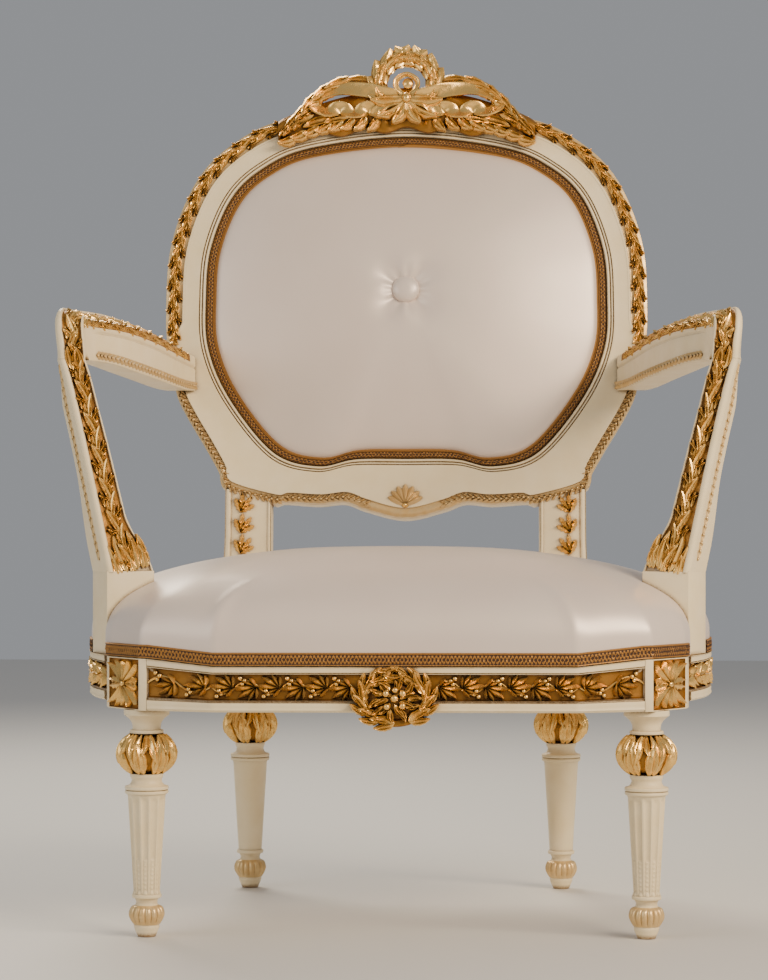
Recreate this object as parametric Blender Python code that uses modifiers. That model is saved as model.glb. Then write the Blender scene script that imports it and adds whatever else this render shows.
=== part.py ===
"""A throne armchair in the Louis XVI manner: carved wood, painted cream and parcel-gilt, upholstered in satin.

While modelling, X runs to the right of someone who faces the chair, Y away from them and Z up. Y = 0 is the
plane of the front leg centres and X = 0 the plane of symmetry. An empty then stands the finished chair on the
middle of its own footprint.
"""

import math

import bmesh
import bpy
from mathutils import Matrix, Vector

# Fits between pieces
GAP = 0.0003
CUT_OUT = 0.0010

# Legs
LEG_HEIGHT = 0.279
FRONT_LEG_X = 0.3065
BACK_LEG_X = 0.2145
LEG_SPACING = 0.480
LEG_COLLAR_RADIUS = 0.0280
LEG_BALL_RADIUS = 0.0370
LEG_NECK_RADIUS = 0.0175
SHAFT_TOP_RADIUS = 0.0233
SHAFT_FOOT_RADIUS = 0.0160
FOOT_RADIUS = 0.0220
FOOT_TIP_RADIUS = 0.0110
FLUTE_DEPTH = 0.0024
FLUTES = 12

# Seat frame
RAIL_HEIGHT = 0.0555
CORNER_RISE = 0.0080
RAIL_THICKNESS = 0.030
RAIL_FILLET = 0.0080
RAIL_BASE = 0.0150
RAIL_BAND_DEPTH = 0.0040
BEND_X = 0.2207
RAIL_AHEAD_OF_LEG = 0.033
CENTRE_BOW = 0.032
CANT_WIDTH = 0.044
CANT_DEPTH = 0.057
BLOCK_SIDE_SPLAY = 0.0045
BLOCK_SIDE_DEPTH = 0.020
SIDE_RAIL_LIFT = 0.008
SEAT_HALF_WIDTH = 0.400
BACK_RAIL_BEHIND_LEG = 0.028
LEAF_PITCH = 0.030
CARTOUCHE_HALF_WIDTH = 0.051
CARTOUCHE_HALF_HEIGHT = 0.0365
CARTOUCHE_DEPTH = 0.020

# Back
BACK_RAKE = math.radians(10)
BACK_AHEAD_OF_LEG = 0.020
BACK_START_ABOVE_RAIL = 0.0655
OPENING_START = 0.1924
OPENING_HALF_WIDTH = 0.2793
OPENING_HEIGHT = 0.4601
FRAME_BAND = 0.0565
FRAME_BACK = 0.030
FRAME_FACE = 0.0155
STILE_WIDTH = 0.0700
STILE_THICKNESS = 0.0440
STILE_FACE = 0.0110
GIMP_WIDTH = 0.0125
GIMP_THICKNESS = 0.0028
SEAT_GIMP_HEIGHT = 0.0168
PAD_CROWN = 0.038
PAD_EDGE = 0.0040
BUTTON_RADIUS = 0.019
BUTTON_SINK = 0.010
BUTTON_SEAT = 0.10
CREST_HALF_WIDTH = 0.186
CREST_RISE = 0.130
CREST_DEPTH = 0.030
CREST_BEHIND = 0.008
CREST_CLEARANCE = 0.0014
WREATH_RADIUS = 0.040
WREATH_TUBE = 0.0125

# Arms
ELBOW_X = 0.413
ELBOW_Y = 0.062
ELBOW_ABOVE_RAIL = 0.4355
ARM_HEIGHT = 0.066
ARM_HALF_WIDTH = 0.0185
POST_SPLAY = math.radians(23)
POST_TOP_SPLAY = math.radians(10)
POST_WIDTH = 0.0615
POST_DEPTH = 0.0640
POST_BLOCK_HEIGHT = 0.1040
POST_BEYOND_BLOCK = 0.0005
POST_BEHIND_BLOCK = 0.0060
ARM_ROOT_LOW = 0.290
ARM_ROOT_HIGH = 0.350

# Seat cushion
CUSHION_CROWN = 0.134
CUSHION_INSET = 0.0020

RAIL_TOP = LEG_HEIGHT + RAIL_HEIGHT
CORNER_TOP = RAIL_TOP + CORNER_RISE
SIDE_BOTTOM = LEG_HEIGHT + SIDE_RAIL_LIFT
ELBOW_TOP = CORNER_TOP + ELBOW_ABOVE_RAIL
FACE_Y = -RAIL_AHEAD_OF_LEG - CENTRE_BOW
BACK_Y = LEG_SPACING + BACK_RAIL_BEHIND_LEG
BACK_ORIGIN = Vector((0, LEG_SPACING - BACK_AHEAD_OF_LEG, RAIL_TOP + BACK_START_ABOVE_RAIL))
BLOCK_INNER_X = FRONT_LEG_X - 0.0035
CANT_START = Vector((FRONT_LEG_X + 0.006, -RAIL_AHEAD_OF_LEG))
CANT_END = CANT_START + Vector((CANT_WIDTH, CANT_DEPTH))
BLOCK_BACK = CANT_END + Vector((BLOCK_SIDE_SPLAY, BLOCK_SIDE_DEPTH))
POST_FOOT = BLOCK_BACK + Vector((POST_BEYOND_BLOCK, POST_BEHIND_BLOCK))
STILE_INNER_X = BACK_LEG_X - STILE_WIDTH / 2
STILE_OUTER_X = BACK_LEG_X + STILE_WIDTH / 2
STILE_FRONT_Y = BACK_ORIGIN.y - STILE_FACE - 0.002

for old in list(bpy.data.objects):
    bpy.data.objects.remove(old)
chair = bpy.data.collections.new("throne_armchair")
bpy.context.scene.collection.children.link(chair)


# Helpers that turn sizes into bodies
def material(name, colour, roughness, metallic=0.0):
    """A plain Principled finish."""
    made = bpy.data.materials.new(name)
    made.use_nodes = True
    shader = made.node_tree.nodes["Principled BSDF"]
    shader.inputs["Base Color"].default_value = (*colour, 1)
    shader.inputs["Roughness"].default_value = roughness
    shader.inputs["Metallic"].default_value = metallic
    return made


def smooth(points, steps, closed=False):
    """Points along a Catmull-Rom curve that passes through the given ones."""
    points = [Vector(p) for p in points]
    count = len(points)
    spans = count if closed else count - 1
    curve = []
    for i in range(spans):
        if closed:
            p0, p1, p2, p3 = (points[(i + k) % count] for k in (-1, 0, 1, 2))
        else:
            p0, p1, p2, p3 = (points[min(max(i + k, 0), count - 1)] for k in (-1, 0, 1, 2))
        for k in range(steps):
            t = k / steps
            curve.append(0.5 * (2 * p1 + (p2 - p0) * t + (2 * p0 - 5 * p1 + 4 * p2 - p3) * t * t
                                + (3 * p1 - p0 - 3 * p2 + p3) * t ** 3))
    if not closed:
        curve.append(points[-1])
    return curve


def resample(path, count):
    """The given number of evenly spaced points along an open path."""
    lengths = [0.0]
    for a, b in zip(path, path[1:]):
        lengths.append(lengths[-1] + (b - a).length)
    result = []
    k = 0
    for i in range(count):
        target = lengths[-1] * i / (count - 1)
        while k < len(path) - 2 and lengths[k + 1] < target:
            k += 1
        share = (target - lengths[k]) / (lengths[k + 1] - lengths[k])
        result.append(path[k].lerp(path[k + 1], min(share, 1)))
    return result


def ramp(value, low, high):
    """0 below low, 1 above high and a smooth rise between."""
    t = min(max((value - low) / (high - low), 0), 1)
    return t * t * (3 - 2 * t)


def leaf(place, pitch):
    """Height of a row of overlapping leaves, 0 at each tip and 1 at the middle."""
    return abs(math.sin(math.pi * place / pitch))


def loft(rings, closed=False):
    """A body through rings of points, with a flat cap at each open end."""
    bm = bmesh.new()
    loops = [[bm.verts.new(p) for p in ring] for ring in rings]
    following = loops[1:] + loops[:1] if closed else loops[1:]
    for a, b in zip(loops, following):
        for i in range(len(a)):
            j = (i + 1) % len(a)
            bm.faces.new((a[i], a[j], b[j], b[i]))
    if not closed:
        bm.faces.new(reversed(loops[0]))
        bm.faces.new(loops[-1])
    bmesh.ops.recalc_face_normals(bm, faces=bm.faces)
    return bm


def turned(profile, segments):
    """A body turned about Z from a profile of (radius, height) points, top to bottom."""
    mesh = bpy.data.meshes.new("profile")
    mesh.from_pydata([(r, 0, z) for r, z in profile], [(i, i + 1) for i in range(len(profile) - 1)], [])
    blank = bpy.data.objects.new("profile", mesh)
    bpy.context.scene.collection.objects.link(blank)
    screw = blank.modifiers.new("turn", "SCREW")
    screw.steps = segments
    screw.render_steps = segments
    screw.use_merge_vertices = True
    screw.merge_threshold = 0.00001
    return baked(blank)


def baked(blank):
    """The evaluated mesh of a scratch object as a bmesh; the object goes."""
    bpy.context.view_layer.update()
    depsgraph = bpy.context.evaluated_depsgraph_get()
    mesh = bpy.data.meshes.new_from_object(blank.evaluated_get(depsgraph))
    bm = bmesh.new()
    bm.from_mesh(mesh)
    bmesh.ops.remove_doubles(bm, verts=bm.verts, dist=0.000005)
    bpy.data.objects.remove(blank)
    return bm


def combined(body, others, operation):
    """The body with the other bodies joined to it or cut from it."""
    blanks = []
    for bm in [body, *others]:
        mesh = bpy.data.meshes.new("blank")
        bm.to_mesh(mesh)
        blank = bpy.data.objects.new("blank", mesh)
        bpy.context.scene.collection.objects.link(blank)
        blanks.append(blank)
    for tool in blanks[1:]:
        step = blanks[0].modifiers.new("step", "BOOLEAN")
        step.operation = operation
        step.solver = "EXACT"
        step.object = tool
    result = baked(blanks[0])
    for tool in blanks[1:]:
        bpy.data.objects.remove(tool)
    return result


def prism(plan, bottom, top):
    """An upright body over a plan outline."""
    return loft([[Vector((p[0], p[1], z)) for p in plan] for z in (bottom, top)])


def moved(bm, matrix):
    """The same body after a transform."""
    bmesh.ops.transform(bm, matrix=matrix, verts=bm.verts)
    return bm


def add_object(name, bm, finish, parent=None, crease=35):
    """A finished, smooth-shaded piece in the chair's collection."""
    mesh = bpy.data.meshes.new(name)
    bm.to_mesh(mesh)
    mesh.shade_smooth()
    mesh.set_sharp_from_angle(angle=math.radians(crease))
    mesh.materials.append(finish)
    piece = bpy.data.objects.new(name, mesh)
    chair.objects.link(piece)
    piece.parent = parent or ground
    return piece


def add_pair(name, bm, finish):
    """The right-hand piece at +X, and its mirror image at -X."""
    other = bm.copy()
    bmesh.ops.scale(other, vec=(-1, 1, 1), verts=other.verts)
    bmesh.ops.reverse_faces(other, faces=other.faces)
    add_object(name + "_right", bm, finish)
    add_object(name + "_left", other, finish)


paint = material("cream_paint", (0.78, 0.68, 0.50), 0.45)
gilding = material("gilding", (0.80, 0.52, 0.18), 0.35, 1.0)
satin = material("satin", (0.72, 0.64, 0.58), 0.35)
braid = material("braid", (0.42, 0.27, 0.09), 0.60, 0.3)

ground = bpy.data.objects.new("ground", None)
chair.objects.link(ground)
back_plane = bpy.data.objects.new("back_plane", None)
chair.objects.link(back_plane)
back_plane.parent = ground
back_plane.location = BACK_ORIGIN
back_plane.rotation_euler = (-BACK_RAKE, 0, 0)


def on_back(u, h, v):
    """The point u to the side, h ahead of and v up the raked back plane."""
    y = BACK_ORIGIN.y + v * math.sin(BACK_RAKE) - h * math.cos(BACK_RAKE)
    z = BACK_ORIGIN.z + v * math.cos(BACK_RAKE) + h * math.sin(BACK_RAKE)
    return Vector((u, y, z))


# Plan of the seat, right half
def rail_top(x):
    """Height of the front rail's top, which rises from the bend to the corner."""
    return RAIL_TOP + CORNER_RISE * min(max((abs(x) - BEND_X) / (BLOCK_INNER_X - BEND_X), 0), 1)


def side_path(start):
    """The side rail's face in plan, from the given point back to the stile."""
    end = Vector((STILE_OUTER_X + 0.004, BACK_Y - 0.016))
    reach = SEAT_HALF_WIDTH - start.x
    run = end.y - start.y
    return smooth([start,
                   start + Vector((reach * 0.66, run * 0.16)),
                   Vector((SEAT_HALF_WIDTH, start.y + run * 0.36)),
                   Vector((end.x + (SEAT_HALF_WIDTH - end.x) * 0.94, start.y + run * 0.58)),
                   Vector((end.x + (SEAT_HALF_WIDTH - end.x) * 0.68, start.y + run * 0.78)),
                   end], 8)


def inset_path(path, distance, closed=False):
    """The path moved inwards with mitred corners, where inwards is to the left of its direction."""
    result = []
    count = len(path)
    for i, p in enumerate(path):
        before = path[i - 1] if closed or i else p
        after = path[(i + 1) % count] if closed or i < count - 1 else p
        normals = []
        for a, b in ((before, p), (p, after)):
            if (b - a).length > 0:
                normals.append(Vector((a.y - b.y, b.x - a.x)).normalized())
        mitre = sum(normals, Vector((0, 0))).normalized()
        result.append(p + mitre * distance / mitre.dot(normals[0]))
    return result


side_start = Vector((BLOCK_BACK.x + 0.003, BLOCK_BACK.y + GAP))
side_face = resample(side_path(side_start), 14)


# Seat rails
def rail_ring(p, inward, bottom, top, relief_low, relief_high):
    """The section of a carved rail: base moulding, sunk leaf band and top fillet."""
    band_low = bottom + RAIL_BASE
    band_high = top - RAIL_FILLET
    middle = (band_low + band_high) / 2
    quarter = (band_high - band_low) * 0.24
    profile = [(RAIL_THICKNESS, bottom), (0, bottom), (0, band_low - 0.002),
               (RAIL_BAND_DEPTH, band_low),
               (RAIL_BAND_DEPTH - relief_low, middle - quarter),
               (RAIL_BAND_DEPTH - 0.002, middle),
               (RAIL_BAND_DEPTH - relief_high, middle + quarter),
               (RAIL_BAND_DEPTH, band_high), (0, band_high + 0.001), (0, top), (RAIL_THICKNESS, top)]
    return [Vector((p.x + inward.x * d, p.y + inward.y * d, z)) for d, z in profile]


def carved_relief(place):
    """Heights of the lower and upper leaf rows, half a leaf apart."""
    return (0.001 + 0.0055 * leaf(place, LEAF_PITCH),
            0.001 + 0.0055 * leaf(place + LEAF_PITCH / 2, LEAF_PITCH))


def front_rail():
    """The front rail, straight in the middle and angled back to the corner blocks."""
    stations = 22
    end_x = BLOCK_INNER_X - GAP
    slope = (CANT_START.y - FACE_Y) / (CANT_START.x - BEND_X)
    half = []
    for i in range(stations + 1):
        x = end_x * i / stations
        half.append(x)
    half = sorted(set(half[:-1]) | {BEND_X, end_x})
    rings = []
    for x in [-x for x in reversed(half[1:])] + half:
        y = FACE_Y + slope * max(abs(x) - BEND_X, 0)
        clear = CARTOUCHE_HALF_WIDTH + LEAF_PITCH / 2
        beside_cartouche = ramp(abs(x), clear, clear + LEAF_PITCH / 2)
        low, high = (0.002 + (rise - 0.002) * beside_cartouche for rise in carved_relief(abs(x)))
        rings.append(rail_ring(Vector((x, y)), Vector((0, 1)), LEG_HEIGHT + GAP, rail_top(x), low, high))
    add_object("front_rail", loft(rings), paint)


def side_rails():
    """The bowed side rails, from the corner block to the stile."""
    faces = side_face
    inner = inset_path(faces, 1.0)
    rings = []
    for i, (p, q) in enumerate(zip(faces, inner)):
        inward = q - p
        if i == 0:
            inward = Vector((-1, 0))
        if i == len(faces) - 1:
            inward = Vector((0, -1))
        low, high = carved_relief(i * LEAF_PITCH * 0.85)
        rings.append(rail_ring(p, inward, SIDE_BOTTOM, CORNER_TOP, low, high))
    inner_x = STILE_INNER_X - 0.02
    outer_x = STILE_OUTER_X + GAP
    low_y = BACK_ORIGIN.y - 0.04
    high_y = BACK_Y + 0.05
    plan = [(inner_x, low_y), (outer_x, low_y), (outer_x, high_y), (inner_x, high_y)]
    clear_of_stile = prism(plan, LEG_HEIGHT, CORNER_TOP + 0.05)
    add_pair("side_rail", combined(loft(rings), [clear_of_stile], "DIFFERENCE"), paint)


def back_rail():
    """The plain rear rail between the stiles, with a small base moulding."""
    reach = STILE_INNER_X - GAP
    rings = []
    for x in (-reach, reach):
        profile = [(BACK_Y - RAIL_THICKNESS, SIDE_BOTTOM), (BACK_Y, SIDE_BOTTOM),
                   (BACK_Y, SIDE_BOTTOM + RAIL_BASE), (BACK_Y - 0.003, SIDE_BOTTOM + RAIL_BASE + 0.003),
                   (BACK_Y - 0.003, CORNER_TOP - 0.004), (BACK_Y - 0.006, CORNER_TOP),
                   (BACK_Y - RAIL_THICKNESS, CORNER_TOP)]
        rings.append([Vector((x, y, z)) for y, z in profile])
    add_object("back_rail", loft(rings), paint)


def front_cartouche():
    """The oval wreath with a boss of fruit, planted on the middle of the front rail."""
    centre_z = RAIL_TOP - CARTOUCHE_HALF_HEIGHT * 1.07
    segments = 20
    levels = [(1.00, 0.000), (1.02, 0.35), (0.90, 0.80), (0.76, 0.72), (0.62, 0.42), (0.48, 0.95),
              (0.22, 1.10)]
    rings = []
    for share, height in levels:
        ring = []
        for k in range(segments):
            turn = 2 * math.pi * k / segments
            lobes = 0.05 * math.cos(10 * turn) if share > 0.7 else 0.0
            ring.append(Vector((CARTOUCHE_HALF_WIDTH * (share + lobes) * math.cos(turn),
                                FACE_Y - GAP - CARTOUCHE_DEPTH * height,
                                centre_z + CARTOUCHE_HALF_HEIGHT * (share + lobes) * math.sin(turn))))
        rings.append(ring)
    add_object("front_cartouche", loft(rings), gilding)


# Legs
def leg_blank(flutes, segments):
    """A leg turned from floor to collar, with the flutes, leaf ball and foot reeds carved after."""
    shares = [(0, 1.0), (LEG_COLLAR_RADIUS, 1.0), (LEG_COLLAR_RADIUS, 0.975), (LEG_NECK_RADIUS, 0.94),
              (LEG_NECK_RADIUS, 0.91), (LEG_BALL_RADIUS * 0.68, 0.895), (LEG_BALL_RADIUS * 0.95, 0.852),
              (LEG_BALL_RADIUS, 0.804), (LEG_BALL_RADIUS * 0.92, 0.756), (LEG_BALL_RADIUS * 0.64, 0.712),
              (LEG_NECK_RADIUS + 0.0015, 0.695), (LEG_COLLAR_RADIUS * 0.95, 0.655),
              (LEG_COLLAR_RADIUS * 0.95, 0.632), (SHAFT_TOP_RADIUS, 0.620), (SHAFT_FOOT_RADIUS, 0.188),
              (SHAFT_FOOT_RADIUS + 0.002, 0.172), (SHAFT_FOOT_RADIUS - 0.003, 0.150), (FOOT_RADIUS, 0.098),
              (FOOT_TIP_RADIUS + 0.0045, 0.045), (FOOT_TIP_RADIUS, 0.0), (0, 0.0)]
    bm = turned([(r, LEG_HEIGHT * z) for r, z in shares], segments)
    for vert in bm.verts:
        share = vert.co.z / LEG_HEIGHT
        radius = math.hypot(vert.co.x, vert.co.y)
        if radius < 0.001:
            continue
        turn = math.atan2(vert.co.y, vert.co.x)
        cut = 0.0
        if flutes and (abs(share - 0.620) < 0.001 or abs(share - 0.188) < 0.001):
            cut = FLUTE_DEPTH * (0.5 - 0.5 * math.cos(FLUTES * turn))
        if 0.74 < share < 0.86:
            cut = -0.0016 * math.cos(6 * turn + 26 * share)
        if 0.06 < share < 0.11:
            cut = 0.0014 * (0.5 - 0.5 * math.cos(12 * turn))
        vert.co.x *= (radius - cut) / radius
        vert.co.y *= (radius - cut) / radius
    return bm


def rosette():
    """The crossed acanthus leaves on the canted face of a corner block."""
    along = (CANT_END - CANT_START)
    outward = Vector((along.y, -along.x)).normalized()
    steps = 6
    width = along.length - 0.006
    bottom = LEG_HEIGHT + 0.003
    height = CORNER_TOP - 0.003 - bottom
    bm = bmesh.new()
    bmesh.ops.create_grid(bm, x_segments=steps, y_segments=steps, size=0.5)
    base = bmesh.ops.extrude_face_region(bm, geom=bm.faces[:])
    sunk = {item for item in base["geom"] if isinstance(item, bmesh.types.BMVert)}
    for vert in bm.verts:
        a, b = vert.co.x * 2, vert.co.y * 2
        diagonal = 1 - min(1, abs(abs(a) - abs(b)) * 1.6)
        edge = 1 - max(abs(a), abs(b)) ** 4
        rise = -0.004 if vert in sunk else 0.0012 + edge * (0.0022 + 0.0035 * diagonal)
        place = CANT_START + along.normalized() * (0.003 + width * (vert.co.x + 0.5)) + outward * rise
        vert.co = (place.x, place.y, bottom + height * (vert.co.y + 0.5))
    bmesh.ops.recalc_face_normals(bm, faces=bm.faces)
    return bm


def front_legs():
    """The fluted front leg and its canted corner block with the rosette."""
    plan = [(BLOCK_INNER_X, -RAIL_AHEAD_OF_LEG - 0.0033), CANT_START, CANT_END, BLOCK_BACK,
            (BLOCK_INNER_X - 0.010, BLOCK_BACK.y), (BLOCK_INNER_X, BLOCK_BACK.y - 0.010)]
    block = prism(plan, LEG_HEIGHT - 0.001, CORNER_TOP)
    shaft = moved(leg_blank(True, 2 * FLUTES), Matrix.Translation((FRONT_LEG_X, 0, 0)))
    add_pair("front_leg", combined(block, [shaft, rosette()], "UNION"), paint)


def back_legs():
    """The plain tapered back leg with the stile above it, which holds the medallion frame."""
    shaft = moved(leg_blank(False, 12), Matrix.Translation((BACK_LEG_X, LEG_SPACING, 0)))
    block_back = STILE_FRONT_Y + STILE_THICKNESS + 0.015
    rings = []
    for z in (LEG_HEIGHT - 0.001, CORNER_TOP):
        rings.append([Vector((STILE_INNER_X, STILE_FRONT_Y, z)), Vector((BACK_LEG_X, STILE_FRONT_Y, z)),
                      Vector((STILE_OUTER_X, STILE_FRONT_Y, z)), Vector((STILE_OUTER_X, block_back, z)),
                      Vector((STILE_INNER_X, block_back, z))])
    top_in, top_out = stile_top(STILE_INNER_X, STILE_OUTER_X)
    levels = 8
    for k in range(levels + 1):
        share = k / levels
        taper = 0.005 * ramp(share, 0.2, 0.7)
        inner = STILE_INNER_X - 0.003 + taper * 1.6
        outer = STILE_OUTER_X + 0.003 - taper * 0.8
        ridge = 0.002 + 0.004 * leaf(share + 0.13, 0.34)
        v_in = 0.02 + (top_in - 0.02) * share
        v_out = 0.02 + (top_out - 0.02) * share
        v_mid = (v_in + v_out) / 2
        behind = STILE_FACE - STILE_THICKNESS
        rings.append([on_back(inner, STILE_FACE, v_in), on_back(BACK_LEG_X, STILE_FACE + ridge, v_mid),
                      on_back(outer, STILE_FACE, v_out), on_back(outer, behind, v_out),
                      on_back(inner, behind, v_in)])
    add_pair("back_leg", combined(loft(rings), [shaft], "UNION"), paint)


# Medallion outlines, in shares of the opening's half width and height
INNER_SHARES = [(0, 0), (0.248, -0.0015), (0.431, -0.0228), (0.652, 0.0185), (0.875, 0.184), (0.985, 0.34),
                (1, 0.494), (0.98, 0.65), (0.880, 0.807), (0.723, 0.902), (0.487, 0.965), (0, 1)]
LOWER_SHARES = [(0, -0.180), (0.193, -0.154), (0.301, -0.131), (0.432, -0.137), (0.601, -0.130),
                (0.660, -0.1355), (0.893, -0.092), (0.926, -0.041), (1.019, 0.058), (1.098, 0.129),
                (1.201, 0.212), (1.214, 0.299)]
CENTRE_SHARE = 0.509


def polar_table(half, closed):
    """(angle from straight down, radius) pairs of the outline through the half's points."""
    centre = OPENING_START + CENTRE_SHARE * OPENING_HEIGHT
    other = [(-u, v) for u, v in reversed(half[1:-1] if closed else half[1:])]
    steps = 10
    count = (len(half) - 1) * steps + 1
    if closed:
        curve = smooth(half + other, steps, closed=True)[:count]
    else:
        curve = smooth(other + half, steps)[-count:]
    return [(math.atan2(p.x, centre - p.y), math.hypot(p.x, p.y - centre)) for p in curve]


def radius_at(table, angle):
    """The radius at an angle from straight down, between 0 and pi."""
    for (a0, r0), (a1, r1) in zip(table, table[1:]):
        if a0 <= angle <= a1 and a1 > a0:
            return r0 + (r1 - r0) * (angle - a0) / (a1 - a0)
    return table[-1][1] if angle > table[-1][0] else table[0][1]


def medallion_points(shares):
    """Outline shares as (u, v) on the back plane."""
    return [(u * OPENING_HALF_WIDTH, OPENING_START + v * OPENING_HEIGHT) for u, v in shares]


inner_table = polar_table(medallion_points(INNER_SHARES), closed=True)
lower_table = polar_table(medallion_points(LOWER_SHARES), closed=False)


def medallion_point(angle, outwards):
    """A point on the back plane: the opening's edge plus a distance outwards."""
    centre = OPENING_START + CENTRE_SHARE * OPENING_HEIGHT
    radius = radius_at(inner_table, abs(angle)) + outwards
    return math.copysign(math.sin(abs(angle)), angle) * radius, centre - math.cos(angle) * radius


def frame_width(angle):
    """Width of the frame from the opening's edge: the leaf band above, webs and rail below."""
    angle = abs(angle)
    last = lower_table[-1][0]
    upper = FRAME_BAND - 0.006 * ramp(angle, 2.3, 2.9)
    lower = radius_at(lower_table, angle) - radius_at(inner_table, angle)
    return lower + (upper - lower) * ramp(angle, last - 0.35, last)


FRAME_STATIONS = 64


def frame_bottom(u):
    """Height on the back plane of the frame's lower edge at a distance to the side."""
    edge = []
    for k in range(FRAME_STATIONS // 4):
        angle = 2 * math.pi * k / FRAME_STATIONS
        edge.append(medallion_point(angle, frame_width(angle)))
    for (u0, v0), (u1, v1) in zip(edge, edge[1:]):
        if u0 <= u <= u1:
            return v0 + (v1 - v0) * (u - u0) / (u1 - u0)
    return edge[-1][1]


def frame_top(u):
    """Height on the back plane of the frame's upper edge at a distance to the side."""
    edge = []
    for k in range(FRAME_STATIONS // 4, FRAME_STATIONS // 2 + 1):
        angle = 2 * math.pi * k / FRAME_STATIONS
        edge.append(medallion_point(angle, frame_width(angle)))
    for (u0, v0), (u1, v1) in zip(edge, edge[1:]):
        if u1 <= abs(u) <= u0:
            return v0 + (v1 - v0) * (u0 - abs(u)) / (u0 - u1)
    return edge[-1][1]


def stile_top(inner, outer):
    """Heights of the stile's top at its two sides, clear of the frame's edge all the way across."""
    steps = [k / 12 for k in range(13)]
    low, high = frame_bottom(inner), frame_bottom(outer)
    spare = min(frame_bottom(inner + (outer - inner) * s) - low - (high - low) * s for s in steps)
    return low + spare - 2 * GAP, high + spare - 2 * GAP


# Back
def frame_ring(angle):
    """The frame's section at an angle: lip, groove, bead, hollow and carved outer band."""
    width = frame_width(angle)
    v_here = medallion_point(angle, width)[1]
    leafy = ramp(v_here, ARM_ROOT_HIGH + 0.010, ARM_ROOT_HIGH + 0.035)
    crested = ramp(abs(angle), math.pi - 0.92, math.pi - 0.78)
    place = abs(angle) * 0.31
    wave = leaf(place, LEAF_PITCH)
    upper = FRAME_FACE + (0.0045 + 0.004 * wave) * leafy * (1 - crested)
    outer = FRAME_FACE + (0.0015 + 0.004 * (1 - wave)) * leafy * (1 - crested)
    band = 0.012 + 0.016 * leafy
    profile = [(0, -FRAME_BACK), (0, 0.0095), (0.0035, 0.0140), (0.0090, 0.0090), (0.0150, 0.0135),
               (0.0210, 0.0085), (width - band, FRAME_FACE - 0.002), (width - band * 0.72, upper),
               (width - band * 0.28, outer), (width, 0.0060), (width - 0.002, -FRAME_BACK)]
    ring = []
    for w, h in profile:
        u, v = medallion_point(angle, w)
        ring.append(Vector((u, -h, v)))
    return ring


def palmette():
    """The leafy shell in the middle of the bottom rail."""
    centre = OPENING_START - OPENING_HEIGHT * 0.118
    rings = []
    segments = 14
    for share, height in ((1.0, 0.008), (1.0, 0.0155), (0.7, 0.0195), (0.3, 0.021)):
        ring = []
        for k in range(segments):
            turn = 2 * math.pi * k / segments
            petals = 1 + 0.16 * math.cos(7 * turn)
            ring.append(Vector((0.036 * share * petals * math.cos(turn), -height,
                                centre + 0.0125 * share * petals * math.sin(turn))))
        rings.append(ring)
    return loft(rings)


def back_frame():
    """The oval frame with its webs and shaped bottom rail."""
    rings = [frame_ring(math.pi * (2 * k / FRAME_STATIONS - 1)) for k in range(FRAME_STATIONS)]
    add_object("back_frame", combined(loft(rings, closed=True), [palmette()], "UNION"), paint, back_plane)


def medallion_body(levels):
    """A body of rings inside the opening; each level is (distance inwards, share, height)."""
    stations = FRAME_STATIONS // 2
    rings = []
    centre = OPENING_START + CENTRE_SHARE * OPENING_HEIGHT
    for inwards, share, height in levels:
        ring = []
        for k in range(stations):
            u, v = medallion_point(math.pi * (2 * k / stations - 1), -inwards)
            ring.append(Vector((u * share, -height, centre + (v - centre) * share)))
        rings.append(ring)
    return loft(rings)


def back_upholstery():
    """The crowned inside back with its button and braid, and the flat outside back."""
    seat = 0.0065
    levels = [(PAD_EDGE, 1, -0.010), (PAD_EDGE, 1, seat), (GIMP_WIDTH + 0.002, 1, seat),
              (GIMP_WIDTH + 0.009, 1, seat + 0.012)]
    for share in (0.86, 0.70, 0.50, 0.30, 0.17):
        dip = BUTTON_SINK * max(0, 1 - (share - BUTTON_SEAT) / 0.22)
        levels.append((GIMP_WIDTH, share, seat + PAD_CROWN * (1 - share ** 2.2) - dip))
    levels.append((GIMP_WIDTH, BUTTON_SEAT, seat + PAD_CROWN - BUTTON_SINK))
    add_object("back_pad", medallion_body(levels), satin, back_plane)

    rings = []
    for k in range(FRAME_STATIONS):
        angle = math.pi * (2 * k / FRAME_STATIONS - 1)
        section = [(0.0008, seat + GAP), (0.0008, seat + GAP + GIMP_THICKNESS),
                   (GIMP_WIDTH - 0.0015, seat + GAP + GIMP_THICKNESS), (GIMP_WIDTH - 0.0015, seat + GAP)]
        ring = []
        for inwards, height in section:
            u, v = medallion_point(angle, -inwards)
            ring.append(Vector((u, -height, v)))
        rings.append(ring)
    add_object("back_gimp", loft(rings, closed=True), braid, back_plane)

    crown = seat + PAD_CROWN - BUTTON_SINK + GAP
    profile = [(0, 0.0085), (BUTTON_RADIUS * 0.5, 0.0078), (BUTTON_RADIUS * 0.85, 0.0050),
               (BUTTON_RADIUS, 0.0015), (BUTTON_RADIUS * 0.92, 0), (0, 0)]
    centre = OPENING_START + CENTRE_SHARE * OPENING_HEIGHT
    place = Matrix.Translation((0, -crown, centre)) @ Matrix.Rotation(math.pi / 2, 4, "X")
    add_object("back_button", moved(turned(profile, 16), place), satin, back_plane)

    levels = [(PAD_EDGE, 1, -0.0103), (PAD_EDGE, 1, -FRAME_BACK + 0.003), (0.016, 1, -FRAME_BACK - 0.002),
              (0.016, 0.6, -FRAME_BACK - 0.010), (0.016, 0.2, -FRAME_BACK - 0.012)]
    add_object("back_panel", medallion_body(levels), satin, back_plane)


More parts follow.
